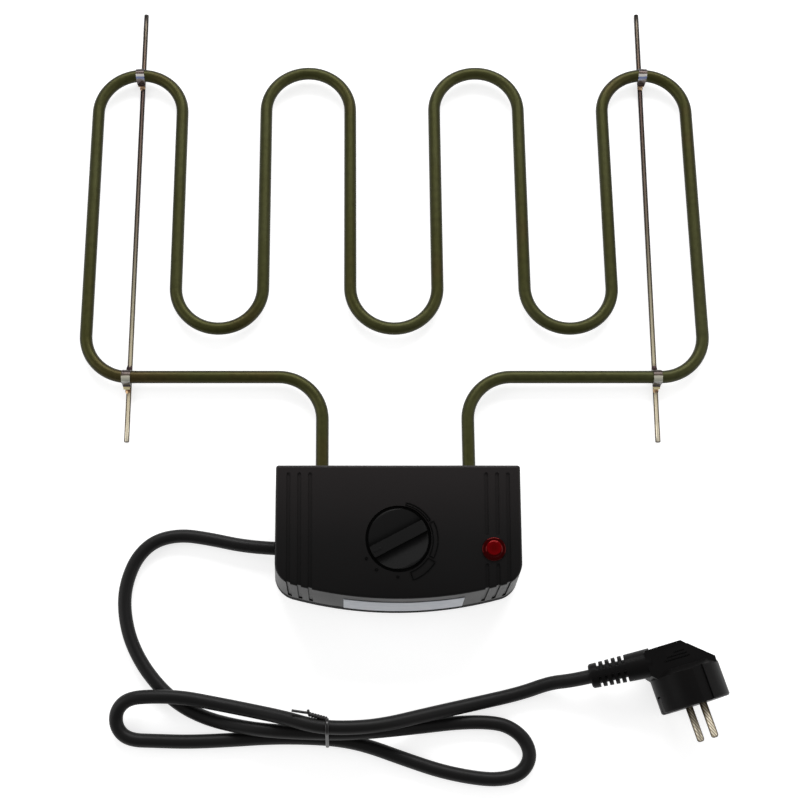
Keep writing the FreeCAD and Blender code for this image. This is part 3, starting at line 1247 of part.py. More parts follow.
heating_tube()
support_rods()
rod_clips()
upper_housing()
lower_housing()
housing_fasteners()
rating_plate()
tube_ends()
tube_clamp()
cord_clamp()
thermostat()
contact_stack()
contact_blade()
thermostat_receptacles()
knob()
lamp()
wiring()
mains_cord()
plug()
twist_tie()
doc.recompute()

# Every object has to be sound before anything is written
for obj in doc.Objects:
    if "Invalid" in obj.State or "Error" in obj.State:
        raise RuntimeError(f"{obj.Label} failed: {obj.State}")
for label, obj in parts.items():
    if obj.Shape.isNull() or not obj.Shape.isValid():
        raise RuntimeError(f"{label} has no valid shape")

os.makedirs("parts", exist_ok=True)
for label, obj in parts.items():
    obj.Shape.exportStep(f"parts/{label}.step")
    size = obj.Shape.optimalBoundingBox()
    print(label, len(obj.Shape.Solids), "solids", round(obj.Shape.Volume, 1), "mm3,",
          [round(v, 1) for v in (size.XMin, size.YMin, size.ZMin, size.XMax, size.YMax, size.ZMax)])
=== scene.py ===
import json
import math
import bmesh
import bpy
import numpy as np
from mathutils import Matrix, Vector


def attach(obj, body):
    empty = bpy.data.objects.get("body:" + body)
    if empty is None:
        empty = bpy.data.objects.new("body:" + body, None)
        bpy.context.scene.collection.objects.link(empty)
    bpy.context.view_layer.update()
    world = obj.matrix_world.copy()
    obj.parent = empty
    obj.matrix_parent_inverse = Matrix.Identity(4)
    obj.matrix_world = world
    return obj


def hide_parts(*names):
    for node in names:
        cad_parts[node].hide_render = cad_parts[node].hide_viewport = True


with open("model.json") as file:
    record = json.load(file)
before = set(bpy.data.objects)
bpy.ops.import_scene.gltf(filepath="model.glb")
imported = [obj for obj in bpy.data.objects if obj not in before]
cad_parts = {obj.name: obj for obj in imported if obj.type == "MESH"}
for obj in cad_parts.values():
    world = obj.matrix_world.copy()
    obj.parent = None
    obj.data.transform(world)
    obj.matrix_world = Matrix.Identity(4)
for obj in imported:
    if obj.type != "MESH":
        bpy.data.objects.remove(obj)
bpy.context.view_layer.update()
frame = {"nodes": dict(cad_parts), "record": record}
mm = 0.001
body = "heater_unit"

# Small tools

def linear(code):
    # sRGB hex to linear light
    parts = [int(code[i:i + 2], 16) / 255 for i in (1, 3, 5)]
    return [c / 12.92 if c <= 0.04045 else ((c + 0.055) / 1.055) ** 2.4 for c in parts] + [1.0]


def fillStops(colours, stops):
    # sets a colour ramp: each stop is a position and a colour, an sRGB hex code or linear
    stops = [(position, linear(colour) if isinstance(colour, str) else colour) for position, colour in stops]
    colours.elements[0].position, colours.elements[0].color = stops[0]
    colours.elements[1].position, colours.elements[1].color = stops[-1]
    for position, colour in stops[1:-1]:
        colours.elements.new(position).color = colour


def connect(tree, node, links):
    # links are socket: (node, output)
    for name, (source, output) in links.items():
        tree.links.new(source.outputs[output], node.inputs[name])


def addNode(tree, kind, settings=None, links=None):
    # one shader node: settings are properties, socket values or a ramp's stops
    made = tree.nodes.new("ShaderNode" + kind)
    for name, value in (settings or {}).items():
        if name == "stops":
            fillStops(made.color_ramp, value)
        elif isinstance(name, int) or not hasattr(made, name):
            made.inputs[name].default_value = value
        else:
            setattr(made, name, value)
    connect(tree, made, links or {})
    return made


def newMaterial(name, **sockets):
    # a material with its shader's sockets set, their names written with _ for a space
    made = bpy.data.materials.new(name)
    made.use_nodes = True
    shader = made.node_tree.nodes["Principled BSDF"]
    for socket, value in sockets.items():
        shader.inputs[socket.replace("_", " ")].default_value = value
    return made, made.node_tree, shader


def objectPoint(tree, scale=(1, 1, 1)):
    # the place on the object, in metres, stretched where a pattern needs it
    coordinates = addNode(tree, "TexCoord")
    return addNode(tree, "Mapping", {"Scale": scale}, {"Vector": (coordinates, "Object")})


def alongY(tree, at, start, end):
    # a share that runs from 0 at one place along the object to 1 at another
    parts = addNode(tree, "SeparateXYZ", links={0: (at, 0)})
    return addNode(tree, "MapRange", {"From Min": start * mm, "From Max": end * mm},
                   {"Value": (parts, "Y")})


def paintedEdgeShade(tree, source, output, stops):
    # paints shade onto a colour where the surface turns away from the view, darker towards the outline;
    # stops run from facing to edge
    facing = addNode(tree, "LayerWeight", {"Blend": 0.5})
    shade = addNode(tree, "ValToRGB", {"stops": stops}, {"Fac": (facing, "Facing")})
    return addNode(tree, "Mix", {"data_type": "RGBA", "blend_type": "MULTIPLY", 0: 1.0},
                   {6: (source, output), 7: (shade, "Color")})


def meshPiece(name, points, faces, material, rides=body, smooth=True):
    # an object at the origin with its place in its mesh, riding on a body
    data = bpy.data.meshes.new(name)
    data.from_pydata(np.asarray(points, float).tolist(), [], [list(map(int, f)) for f in faces])
    data.validate()
    data.update()
    data.polygons.foreach_set("use_smooth", np.full(len(data.polygons), smooth))
    piece = bpy.data.objects.new(name, data)
    bpy.context.scene.collection.objects.link(piece)
    data.materials.append(material)
    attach(piece, rides)
    return piece


def gridFaces(rows, columns, wrapRows=False):
    # quads of a grid of rows x columns points, each row a closed loop, the rows too where wrapRows says so
    r, c = np.meshgrid(np.arange(rows if wrapRows else rows - 1), np.arange(columns), indexing="ij")
    r2, c2 = (r + 1) % rows, (c + 1) % columns
    corners = [r * columns + c, r * columns + c2, r2 * columns + c2, r2 * columns + c]
    return np.stack(corners, -1).reshape(-1, 4)


def endFaces(rows, columns):
    # the two caps of a grid whose rows are closed loops
    return [list(range(columns))[::-1], list(range((rows - 1) * columns, rows * columns))]


def frames(path, closed=False):
    # a direction and two sides at each point of a path, turned as little as possible from one to the next
    ahead = np.roll(path, -1, 0) - np.roll(path, 1, 0)
    if not closed:
        ahead[0], ahead[-1] = path[1] - path[0], path[-1] - path[-2]
    ahead /= np.linalg.norm(ahead, axis=1)[:, None]
    start = np.array([0.0, 0.0, 1.0]) if abs(ahead[0, 2]) < 0.9 else np.array([1.0, 0.0, 0.0])
    side = np.zeros_like(path)
    side[0] = start - ahead[0] * (start @ ahead[0])
    side[0] /= np.linalg.norm(side[0])
    for i in range(1, len(path)):
        turned = side[i - 1] - ahead[i] * (side[i - 1] @ ahead[i])
        side[i] = turned / np.linalg.norm(turned)
    return ahead, side, np.cross(ahead, side)


def carry(path, profiles, closed=False):
    # a closed profile, (k, 2) or one for each path point (n, k, 2), carried along the path in its side axes
    ahead, side, other = frames(path, closed)
    profiles = np.broadcast_to(profiles, (len(path),) + profiles.shape[-2:])
    points = path[:, None] + profiles[..., :1] * side[:, None] + profiles[..., 1:] * other[:, None]
    rows, columns = points.shape[:2]
    faces = gridFaces(rows, columns, wrapRows=closed).tolist()
    if not closed:
        faces = faces + endFaces(rows, columns)
    return points.reshape(-1, 3), faces


def joined(parts):
    # one list of points and one of faces from several
    points, faces = [], []
    for some, quads in parts:
        shift = sum(len(earlier) for earlier in points)
        faces += [[k + shift for k in quad] for quad in quads]
        points.append(some)
    return np.concatenate(points), faces


def circle(radius, sides):
    # cosine and sine of equal steps of angle, times the radius
    angle = np.linspace(0, 2 * math.pi, sides, endpoint=False)
    return np.stack([np.cos(angle), np.sin(angle)], -1) * radius


def arc(centre, radius, start, end, steps):
    # points of a flat arc round centre, from one angle to another in degrees, at the centre's height
    angle = np.radians(np.linspace(start, end, steps))
    flat = np.stack([np.cos(angle), np.sin(angle), np.zeros(steps)], -1) * radius
    return np.asarray(centre, float) + flat


def recalculate(piece):
    # merges the doubled points of closed poles and turns every face outwards
    work = bmesh.new()
    work.from_mesh(piece.data)
    bmesh.ops.remove_doubles(work, verts=work.verts, dist=1e-6)
    bmesh.ops.recalc_face_normals(work, faces=work.faces)
    work.to_mesh(piece.data)
    work.free()


# Camera

camera = {"place": (-0.02615, -0.3163, 0.8140), "fromBelow": math.atan2(0.2942, 0.9557), "lens": 65.25,
          "shift": 0.0625}


def makeCamera():
    data = bpy.data.cameras.new("camera")
    data.lens = camera["lens"]
    data.sensor_width = 36
    data.shift_x = camera["shift"]
    data.clip_start = 0.01
    seen = bpy.data.objects.new("camera", data)
    seen.location = camera["place"]
    seen.rotation_euler = (camera["fromBelow"], 0, 0)
    bpy.context.scene.collection.objects.link(seen)
    bpy.context.scene.camera = seen


makeCamera()
print("camera set")

# Materials, and the places along the object that their tints follow

# front and rear of the housing's face: the ends of its painted gradient of reflected light
facePlace = {"front": -198.0, "rear": -121.0}
rods = {"x": 156.0, "radius": 1.5, "front": -91.8, "rear": 190.6, "chamfer": 0.12,
        "lean": {"left": (0.0, 0.0), "right": (-3.2, 0.4)}}
lampPlace = {"middle": (51.5, -162.4, 44.0), "radius": 6.5}
strapPlace = {"rear": 144.4, "front": -53.7}
strapReach = {"rear": 4.3, "tab": 8.0}
# temper colours from each strap's rear edge to its tab, with a painted highlight over the arch and painted
# shade at the rear edge
strapTintsAndSheen = {
    "rear": [(0.3, "#2E2624"), (0.44, "#5A4A44"), (0.49, "#F2EEE6"), (0.57, "#F2F0EA"), (0.6, "#8496CC"),
             (0.67, "#A8B0D0"), (0.7, "#8A8480"), (0.75, "#4A3A36"), (0.84, "#55433A"), (0.88, "#E8C296"),
             (1.0, "#F4D8AC")],
    "front": [(0.3, "#3A302C"), (0.4, "#6A5E54"), (0.46, "#DEDAC6"), (0.62, "#C6C6B6"), (0.68, "#A0A098"),
              (0.74, "#6A6668"), (0.79, "#5A5054"), (0.83, "#FFF0B8"), (1.0, "#FFF4C8")],
}


def blackAbs(name, colours, roughness, grain):
    # black ABS from a spark-eroded mould: satin, fine even grain, slightly uneven gloss, greyer to the rear
    # as a painted gradient of reflected light
    made, tree, shader = newMaterial(name, IOR=1.54, Specular_IOR_Level=0.12)
    at = objectPoint(tree)
    share = alongY(tree, at, facePlace["front"], facePlace["rear"])
    tint = addNode(tree, "ValToRGB", {"stops": list(zip((0, 0.5, 1), colours))}, {"Fac": (share, 0)})
    patch = addNode(tree, "TexNoise", {"Scale": 1 / (22.2 * mm), "Detail": 3.0}, {"Vector": (at, 0)})
    gloss = addNode(tree, "MapRange", {"To Min": roughness - 0.05, "To Max": roughness + 0.07},
                    {"Value": (patch, "Fac")})
    spark = addNode(tree, "TexNoise", {"Scale": 1 / (grain * mm), "Detail": 2.0}, {"Vector": (at, 0)})
    relief = addNode(tree, "Bump", {"Distance": 0.02 * mm, "Strength": 0.6}, {"Height": (spark, "Fac")})
    connect(tree, shader, {"Base Color": (tint, 0), "Roughness": (gloss, 0), "Normal": (relief, 0)})
    return made


def lowGloss(name, colour, roughness):
    # black plastic that has hardly any gloss left: faint patches 3 mm wide
    made, tree, shader = newMaterial(name, Base_Color=linear(colour), IOR=1.3, Specular_IOR_Level=0.1)
    at = objectPoint(tree)
    patch = addNode(tree, "TexNoise", {"Scale": 1 / (3.33 * mm), "Detail": 3.0}, {"Vector": (at, 0)})
    gloss = addNode(tree, "MapRange", {"To Min": roughness - 0.05, "To Max": roughness + 0.1},
                    {"Value": (patch, "Fac")})
    connect(tree, shader, {"Roughness": (gloss, 0)})
    return made


pinWear = {"across": (0.75, 0.66, 0.0), "pitch": 1.1}


def pinMetal():
    # plug pins: worn nickel over brass, turned, with fine slanting wear lines and painted shade at their
    # outlines
    made, tree, shader = newMaterial("worn nickel-plated pins", Metallic=0.35, Roughness=0.34)
    at = addNode(tree, "TexCoord")
    along = addNode(tree, "VectorMath", {"operation": "DOT_PRODUCT", 1: pinWear["across"]},
                    {0: (at, "Object")})
    rate = 2 * math.pi / (pinWear["pitch"] * mm)
    turns = addNode(tree, "Math", {"operation": "MULTIPLY", 1: rate}, {0: (along, "Value")})
    wave = addNode(tree, "Math", {"operation": "SINE"}, {0: (turns, 0)})
    share = addNode(tree, "MapRange", {"From Min": -1.0}, {"Value": (wave, 0)})
    tint = addNode(tree, "ValToRGB", {"stops": [(0.15, "#A4967C"), (0.6, "#F4EAD4")]},
                   {"Fac": (share, 0)})
    shaded = paintedEdgeShade(tree, tint, 0, [(0.12, "#FFFFFF"), (0.32, "#948A78"), (0.55, "#3A342C")])
    connect(tree, shader, {"Base Color": (shaded, 2)})
    return made


sheathOxide = [(0.3, "#45391F"), (0.45, "#3E3E1E"), (0.7, "#444529")]


def heatedSteel():
    # stainless heater sheath after firing: an olive oxide over drawn steel, in patches 111 mm long
    made, tree, shader = newMaterial("oxidised stainless steel sheath", Metallic=0.55,
                                     Specular_IOR_Level=0.15)
    at = objectPoint(tree)
    wide = addNode(tree, "TexNoise", {"Scale": 1 / (111 * mm), "Detail": 4.0, "Roughness": 0.6},
                   {"Vector": (at, 0)})
    oxide = addNode(tree, "ValToRGB", {"stops": sheathOxide}, {"Fac": (wide, "Fac")})
    fine = addNode(tree, "TexNoise", {"Scale": 1 / (3.33 * mm), "Detail": 3.0}, {"Vector": (at, 0)})
    speck = addNode(tree, "ValToRGB", {"stops": [(0.3, "#A8A8A8"), (0.6, "#FFFFFF")]},
                    {"Fac": (fine, "Fac")})
    mixed = addNode(tree, "Mix", {"data_type": "RGBA", "blend_type": "MULTIPLY", 0: 0.3},
                    {6: (oxide, "Color"), 7: (speck, "Color")})
    # painted shade: the sheath darkens towards its outlines as seen from the camera
    mixed = paintedEdgeShade(tree, mixed, 2, [(0.1, "#FFFFFF"), (0.55, "#C0C0C0"), (0.95, "#70706A")])
    gloss = addNode(tree, "MapRange", {"To Min": 0.38, "To Max": 0.5}, {"Value": (wide, "Fac")})
    relief = addNode(tree, "Bump", {"Distance": 0.008 * mm, "Strength": 0.4}, {"Height": (fine, "Fac")})
    connect(tree, shader, {"Base Color": (mixed, 2), "Roughness": (gloss, 0), "Normal": (relief, 0)})
    return made


wireTints = [(0.0, "#FFF6E0"), (0.13, "#F0E2C0"), (0.17, "#6A5848"), (0.2, "#DDD2B4"), (0.36, "#B0A890"),
             (0.5, "#867A6C"), (0.7, "#75655A"), (0.84, "#6A5650"), (0.88, "#8A7464"), (0.95, "#7E7064"),
             (1.0, "#8C8272")]


def heatedWire():
    # drawn steel wire, bright at its cool front end and straw, brown and grey where it was hot, with painted
    # shade towards its outlines
    made, tree, shader = newMaterial("heat-tinted steel wire", Metallic=0.65, Roughness=0.27)
    at = objectPoint(tree)
    share = alongY(tree, at, rods["front"], rods["rear"])
    cloud = addNode(tree, "TexNoise", {"Scale": 1 / (11.1 * mm), "Detail": 3.0}, {"Vector": (at, 0)})
    uneven = addNode(tree, "Math", {"operation": "MULTIPLY_ADD", 1: 0.06},
                     {0: (cloud, "Fac"), 2: (share, 0)})
    tint = addNode(tree, "ValToRGB", {"stops": wireTints}, {"Fac": (uneven, 0)})
    shaded = paintedEdgeShade(tree, tint, 0, [(0.08, "#FFFFFF"), (0.2, "#7A7268"), (0.34, "#3E3731")])
    relief = addNode(tree, "Bump", {"Distance": 0.01 * mm, "Strength": 0.5}, {"Height": (cloud, "Fac")})
    connect(tree, shader, {"Base Color": (shaded, 2), "Normal": (relief, 0)})
    return made


def weldedStrap(place, tintsAndSheen):
    # bright strip steel with temper colours from its rear edge to its tab in front of it, mixed with a
    # painted highlight and painted shade along it
    made, tree, shader = newMaterial("strip steel with weld tint and painted sheen", Metallic=0.6, Roughness=0.26)
    at = objectPoint(tree)
    heat = alongY(tree, at, place + strapReach["rear"], place - strapReach["tab"])
    cloud = addNode(tree, "TexNoise", {"Scale": 1 / (3.85 * mm), "Detail": 3.0}, {"Vector": (at, 0)})
    uneven = addNode(tree, "Math", {"operation": "MULTIPLY_ADD", 1: 0.08},
                     {0: (cloud, "Fac"), 2: (heat, 0)})
    tint = addNode(tree, "ValToRGB", {"stops": tintsAndSheen}, {"Fac": (uneven, 0)})
    relief = addNode(tree, "Bump", {"Distance": 0.02 * mm, "Strength": 0.5}, {"Height": (cloud, "Fac")})
    connect(tree, shader, {"Base Color": (tint, 0), "Normal": (relief, 0)})
    return made


def weldMetal(name, low, middle, high):
    # a spot weld, lumpy and tinted by the heat, the lumps 2 mm wide
    made, tree, shader = newMaterial(name, Metallic=0.6, Roughness=0.38)
    at = objectPoint(tree)
    cloud = addNode(tree, "TexNoise", {"Scale": 1 / (1.923 * mm), "Detail": 4.0}, {"Vector": (at, 0)})
    tint = addNode(tree, "ValToRGB", {"stops": [(0.35, low), (0.5, middle), (0.66, high)]},
                   {"Fac": (cloud, "Fac")})
    relief = addNode(tree, "Bump", {"Distance": 0.08 * mm, "Strength": 0.7}, {"Height": (cloud, "Fac")})
    connect(tree, shader, {"Base Color": (tint, 0), "Normal": (relief, 0)})
    return made


def softRubber(name, colour, roughness, grain, level):
    # extruded or moulded black rubber: matt, with a soft uneven skin
    made, tree, shader = newMaterial(name, Base_Color=linear(colour), IOR=1.5, Specular_IOR_Level=level)
    at = objectPoint(tree)
    patch = addNode(tree, "TexNoise", {"Scale": 1 / (16.7 * mm), "Detail": 3.0}, {"Vector": (at, 0)})
    gloss = addNode(tree, "MapRange", {"To Min": roughness - 0.06, "To Max": roughness + 0.08},
                    {"Value": (patch, "Fac")})
    skin = addNode(tree, "TexNoise", {"Scale": 1 / (grain * mm), "Detail": 2.0}, {"Vector": (at, 0)})
    relief = addNode(tree, "Bump", {"Distance": 0.03 * mm, "Strength": 0.5}, {"Height": (skin, "Fac")})
    connect(tree, shader, {"Roughness": (gloss, 0), "Normal": (relief, 0)})
    return made


def plainMetal(name, colour, roughness):
    # plated or bare metal: fine cloudy gloss
    made, tree, shader = newMaterial(name, Metallic=1.0)
    at = objectPoint(tree)
    cloud = addNode(tree, "TexNoise", {"Scale": 1 / (3.33 * mm), "Detail": 3.0}, {"Vector": (at, 0)})
    shade = [c * 0.72 for c in linear(colour)[:3]] + [1.0]
    tint = addNode(tree, "ValToRGB", {"stops": [(0.3, shade), (0.6, colour)]}, {"Fac": (cloud, "Fac")})
    gloss = addNode(tree, "MapRange", {"To Min": roughness - 0.06, "To Max": roughness + 0.08},
                    {"Value": (cloud, "Fac")})
    connect(tree, shader, {"Base Color": (tint, 0), "Roughness": (gloss, 0)})
    return made


def plainPlastic(name, colour, roughness):
    # small moulded, extruded or fired pieces inside the box, and the tie's coating
    made, tree, shader = newMaterial(name, IOR=1.5, Roughness=roughness)
    at = objectPoint(tree)
    cloud = addNode(tree, "TexNoise", {"Scale": 1 / (4.17 * mm), "Detail": 2.0}, {"Vector": (at, 0)})
    shade = [c * 0.85 for c in linear(colour)[:3]] + [1.0]
    tint = addNode(tree, "ValToRGB", {"stops": [(0.35, shade), (0.65, colour)]},
                   {"Fac": (cloud, "Fac")})
    connect(tree, shader, {"Base Color": (tint, 0)})
    return made


# lens reds by distance from the middle: painted light in the middle, painted shade in a ring and at the rim
lensRedsLitAndShaded = [(0.2, "#4A0001"), (0.56, "#5E0004"), (0.66, "#1A0000"), (0.84, "#180001"), (1.0, "#080000")]


def redLens():
    # moulded red polycarbonate over the dark socket: painted light makes it clear red in the middle, painted
    # shade darkens a ring and takes it nearly black to the rim
    made, tree, shader = newMaterial("red polycarbonate lens", Roughness=0.06, IOR=1.58,
                                     Specular_IOR_Level=0.5, Specular_Tint=linear("#FF4C4C"))
    middle = Vector(lampPlace["middle"]) * mm
    at = addNode(tree, "TexCoord")
    away = addNode(tree, "VectorMath", {"operation": "DISTANCE", 1: middle}, {0: (at, "Object")})
    share = addNode(tree, "Math", {"operation": "DIVIDE", 1: lampPlace["radius"] * mm},
                    {0: (away, "Value")})
    tint = addNode(tree, "ValToRGB", {"stops": lensRedsLitAndShaded}, {"Fac": (share, 0)})
    connect(tree, shader, {"Base Color": (tint, 0)})
    return made


def labelFoil():
    # bare satin aluminium foil label, with faint lengthwise rolling lines 1.1 mm apart
    made, tree, shader = newMaterial("satin aluminium foil", Metallic=0.35, IOR=1.5)
    at = objectPoint(tree, (0.08, 1, 1))
    lines = addNode(tree, "TexNoise", {"Scale": 1 / (1.11 * mm), "Detail": 2.0}, {"Vector": (at, 0)})
    tint = addNode(tree, "ValToRGB", {"stops": [(0.3, "#B4B8BF"), (0.7, "#C9CCD2")]},
                   {"Fac": (lines, "Fac")})
    gloss = addNode(tree, "MapRange", {"To Min": 0.38, "To Max": 0.5}, {"Value": (lines, "Fac")})
    connect(tree, shader, {"Base Color": (tint, 0), "Roughness": (gloss, 0)})
    return made


materials = {
    # housing and knob colours run greyer to the rear: a painted gradient of reflected light
    "black_abs": blackAbs("moulded black ABS", ("#080707", "#141313", "#242121"), 0.4, 0.35),
    "knob_abs": blackAbs("moulded black ABS knob", ("#121212", "#151515", "#1A1919"), 0.38, 0.3),
    "oxidised_steel": heatedSteel(),
    "annealed_wire": heatedWire(),
    "welded_strap": weldedStrap(strapPlace["rear"], strapTintsAndSheen["rear"]),
    "zinc_steel": plainMetal("zinc-plated steel", "#B9BBC0", 0.34),
    "nickel_brass": plainMetal("nickel-plated brass", "#C2B27A", 0.3),
    "steatite": plainPlastic("unglazed steatite", "#DAD3C4", 0.7),
    "silicone_seal": plainPlastic("silicone seal", "#8A5B4A", 0.5),
    "bimetal": plainMetal("rolled bimetal strip", "#A8A39A", 0.3),
    "lamp_red": redLens(),
    "lamp_glass": plainPlastic("neon bulb glass", "#C9B59A", 0.1),
    "lamp_cap": plainPlastic("moulded lamp base", "#D0C8B8", 0.5),
    "label_foil": labelFoil(),
    "cord_rubber": softRubber("extruded black rubber sheath", "#0C0B0B", 0.48, 0.8, 0.2),
    "plug_rubber": softRubber("moulded black plug rubber", "#0C0B0B", 0.42, 0.5, 0.09),
    "plug_pin": pinMetal(),
    "tie_paper": plainPlastic("coated tie wire", "#0E0B0B", 0.3),
    "core_brown": plainPlastic("brown core insulation", "#5A2F1C", 0.45),
    "core_blue": plainPlastic("blue core insulation", "#2C58A8", 0.45),
    "core_green_yellow": plainPlastic("green and yellow core insulation", "#8FA62A", 0.45),
    "core_black": plainPlastic("black core insulation", "#1C1C1C", 0.45),
}
straps = {"rear": materials["welded_strap"], "front": weldedStrap(strapPlace["front"], strapTintsAndSheen["front"])}
welds = {"rear front": weldMetal("weld metal, straw", "#6A5040", "#C09A74", "#F4D8B0"),
         "front front": weldMetal("weld metal, brown", "#2E2320", "#8A6A4C", "#D8B488"),
         "front rear": weldMetal("weld metal, purple", "#1A1214", "#382628", "#5E4440")}
lowerPlastic = lowGloss("moulded black ABS, matt", "#0D0D0D", 0.6)
# the dial scale's raised lines are given a near-black colour: painted shade along the ridges
lineShadeBlack = lowGloss("moulded black ABS, raised line in painted shade", "#040404", 0.6)
# the earth contact strips are given a near-black tone
contactSteel = plainMetal("dark contact strip", "#1C1B1A", 0.5)

for entry in frame["record"]["subparts"]:
    holder = frame["nodes"][entry["node"]]
    holder.data.materials.clear()
    holder.data.materials.append(materials[entry["material_slot"]])
print("materials set")

# Mains cord: one loose bundle, folded on itself and tied, with the plug at its end

cordSizes = {"diameter": 7.6 * mm, "exit": (-68.6, -155.5, 6.7), "length": 0.892, "lead": 10.0}
cordRoute = [
    (-83.8, -154.6, 6.0), (-106.1, -149.6, 4.9),
    (-122.2, -147.2, 4.2), (-136.8, -150.4, 3.9), (-146.6, -159.9, 3.9), (-151.7, -173.5, 3.9),
    (-152.8, -186.0, 3.9), (-150.5, -199.9, 3.9), (-145.8, -212.1, 3.9), (-138.3, -224.2, 3.9),
    (-128.0, -235.6, 3.9), (-116.6, -244.0, 3.9), (-103.3, -249.9, 4.4), (-87.2, -254.0, 8.5),
    (-70.5, -256.6, 12.9), (-49.4, -257.7, 13.7), (-28.9, -258.1, 13.7), (-9.9, -256.8, 12.6),
    (14.0, -253.8, 5.6), (33.0, -251.5, 4.0), (49.9, -251.3, 3.9), (60.5, -253.4, 3.9),
    (69.3, -260.3, 3.9), (72.3, -269.8, 3.9), (67.0, -278.6, 3.9), (55.6, -281.8, 3.9),
    (42.6, -281.2, 3.9), (23.2, -277.5, 3.9), (3.2, -270.9, 3.9), (-16.9, -263.8, 4.4),
    (-33.0, -260.6, 5.1), (-52.0, -259.6, 5.1), (-70.9, -259.6, 4.4), (-92.7, -261.0, 3.9),
    (-113.9, -261.9, 3.9), (-131.5, -261.4, 3.9), (-146.9, -260.9, 3.9), (-153.9, -254.4, 4.7),
    (-153.9, -245.4, 7.9), (-147.1, -239.1, 11.2), (-132.5, -238.3, 13.0), (-117.4, -238.9, 13.0),
    (-102.8, -241.4, 11.6), (-81.3, -245.6, 12.6), (-60.5, -250.4, 19.0), (-45.0, -255.0, 22.4),
    (-28.8, -256.0, 22.5), (-9.0, -254.4, 20.4), (16.5, -247.8, 12.4), (43.4, -241.4, 5.4),
    (68.0, -235.8, 4.0), (83.6, -230.4, 6.6),
]
plugPlace = {"at": (160.25, -243.5, 19.0), "yaw": 16.5, "radius": 19.0}
sleeveShape = {"inset": 3.5, "back": 28.0, "low": 2.0, "slope": 14.0, "aim": 175.0, "length": 34.0}
plugMatrix = (Matrix.Translation(Vector(plugPlace["at"]) * mm)
              @ Matrix.Rotation(math.radians(plugPlace["yaw"]), 4, "Z"))
sleeveFoot = Vector((sleeveShape["inset"] - plugPlace["radius"], sleeveShape["back"], sleeveShape["low"]))
sleeveMatrix = (Matrix.Translation(sleeveFoot * mm)
                @ Matrix.Rotation(math.radians(sleeveShape["aim"]), 4, "Z")
                @ Matrix.Rotation(math.radians(90 + sleeveShape["slope"]), 4, "Y"))
sleeveEnds = [plugMatrix @ sleeveMatrix @ Vector((0, 0, (sleeveShape["length"] + beyond) * mm))
              for beyond in (cordSizes["lead"], 0.0)]


def makeCord():
    # a smooth curve with a round section, from the box wall through the route to the plug's bend sleeve
    points = [cordSizes["exit"]] + cordRoute + [tuple(c / mm for c in end) for end in sleeveEnds]
    data = bpy.data.curves.new("mainsCord", "CURVE")
    data.dimensions = "3D"
    data.bevel_depth = cordSizes["diameter"] / 2
    data.bevel_resolution = 8
    data.resolution_u = 10
    data.use_fill_caps = True
    spline = data.splines.new("NURBS")
    spline.points.add(len(points) - 1)
    spline.points.foreach_set("co", np.array([[c * mm for c in p] + [1.0] for p in points]).ravel())
    spline.order_u = 3
    spline.use_endpoint_u = True
    data.materials.append(materials["cord_rubber"])
    piece = bpy.data.objects.new("mainsCord", data)
    bpy.context.scene.collection.objects.link(piece)
    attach(piece, body)
    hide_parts("mains_cord")
    return piece


cordPiece = makeCord()
print("cord laid")

# Heating tube, swept along the legs and bends of the element

element = {"radius": 3.7, "height": 6.7, "pitch": 52.0, "bend": 26.0, "bends": 7, "rearBends": 119.9,
           "frontBends": 2.4, "outerBends": 118.4, "run": -53.7, "runAlong": (100.0, 130.0), "entry": 42.15,
           "end": -131.8, "entryAlong": (-116.0, -100.0), "legSteps": 7, "sides": 40}


def elementPath():
    # from the right entry round its front bend, through the legs and bends, and back to the left entry
    e = element
    z = e["height"]
    outer = e["bends"] / 2 * e["pitch"]
    inner = e["entry"] + e["bend"]
    start = e["run"] + e["bend"]

    def leg(side, before, after):
        steps = np.linspace(before, after, e["legSteps"] + 2)[1:-1]
        return np.stack([np.full(e["legSteps"], side), steps, np.full(e["legSteps"], z)], -1)

    entry = [np.array([[e["entry"], y, z] for y in (e["end"], *e["entryAlong"])]),
             arc((inner, start - 2 * e["bend"], z), e["bend"], 180, 90, 25),
             np.array([[x, e["run"], z] for x in e["runAlong"]]),
             arc((outer - e["bend"], start, z), e["bend"], -90, 0, 25)]
    parts = list(entry)
    before = start
    for i in range(e["bends"]):
        centre = outer - e["bend"] - i * e["pitch"]
        rear = i % 2 == 0
        level = e["frontBends"]
        if rear:
            level = e["outerBends"] if i in (0, e["bends"] - 1) else e["rearBends"]
        parts.append(leg(centre + e["bend"], before, level))
        parts.append(arc((centre, level, z), e["bend"], 0, 180 if rear else -180, 49))
        before = level
    parts.append(leg(-outer, before, start))
    parts.append(np.concatenate(entry)[::-1] * [-1, 1, 1])
    return np.concatenate(parts) * mm


def makeTube():
    # a circle carried along the element's path
    path = elementPath()
    points, faces = carry(path, circle(element["radius"] * mm, element["sides"]))
    piece = meshPiece("heatingTube", points, faces, materials["oxidised_steel"])
    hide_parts("heating_tube")
    return piece


makeTube()
print("heating tube swept")

# Support rods: drawn wire with a small burr-free chamfer at each end

def rodX(word, y):
    # the right rod was welded on a little askew: its distance from the middle at a place along it
    start, end = rods["lean"][word]
    side = -1 if word == "left" else 1
    return side * rods["x"] + start + (end - start) * (y - rods["front"]) / (rods["rear"] - rods["front"])


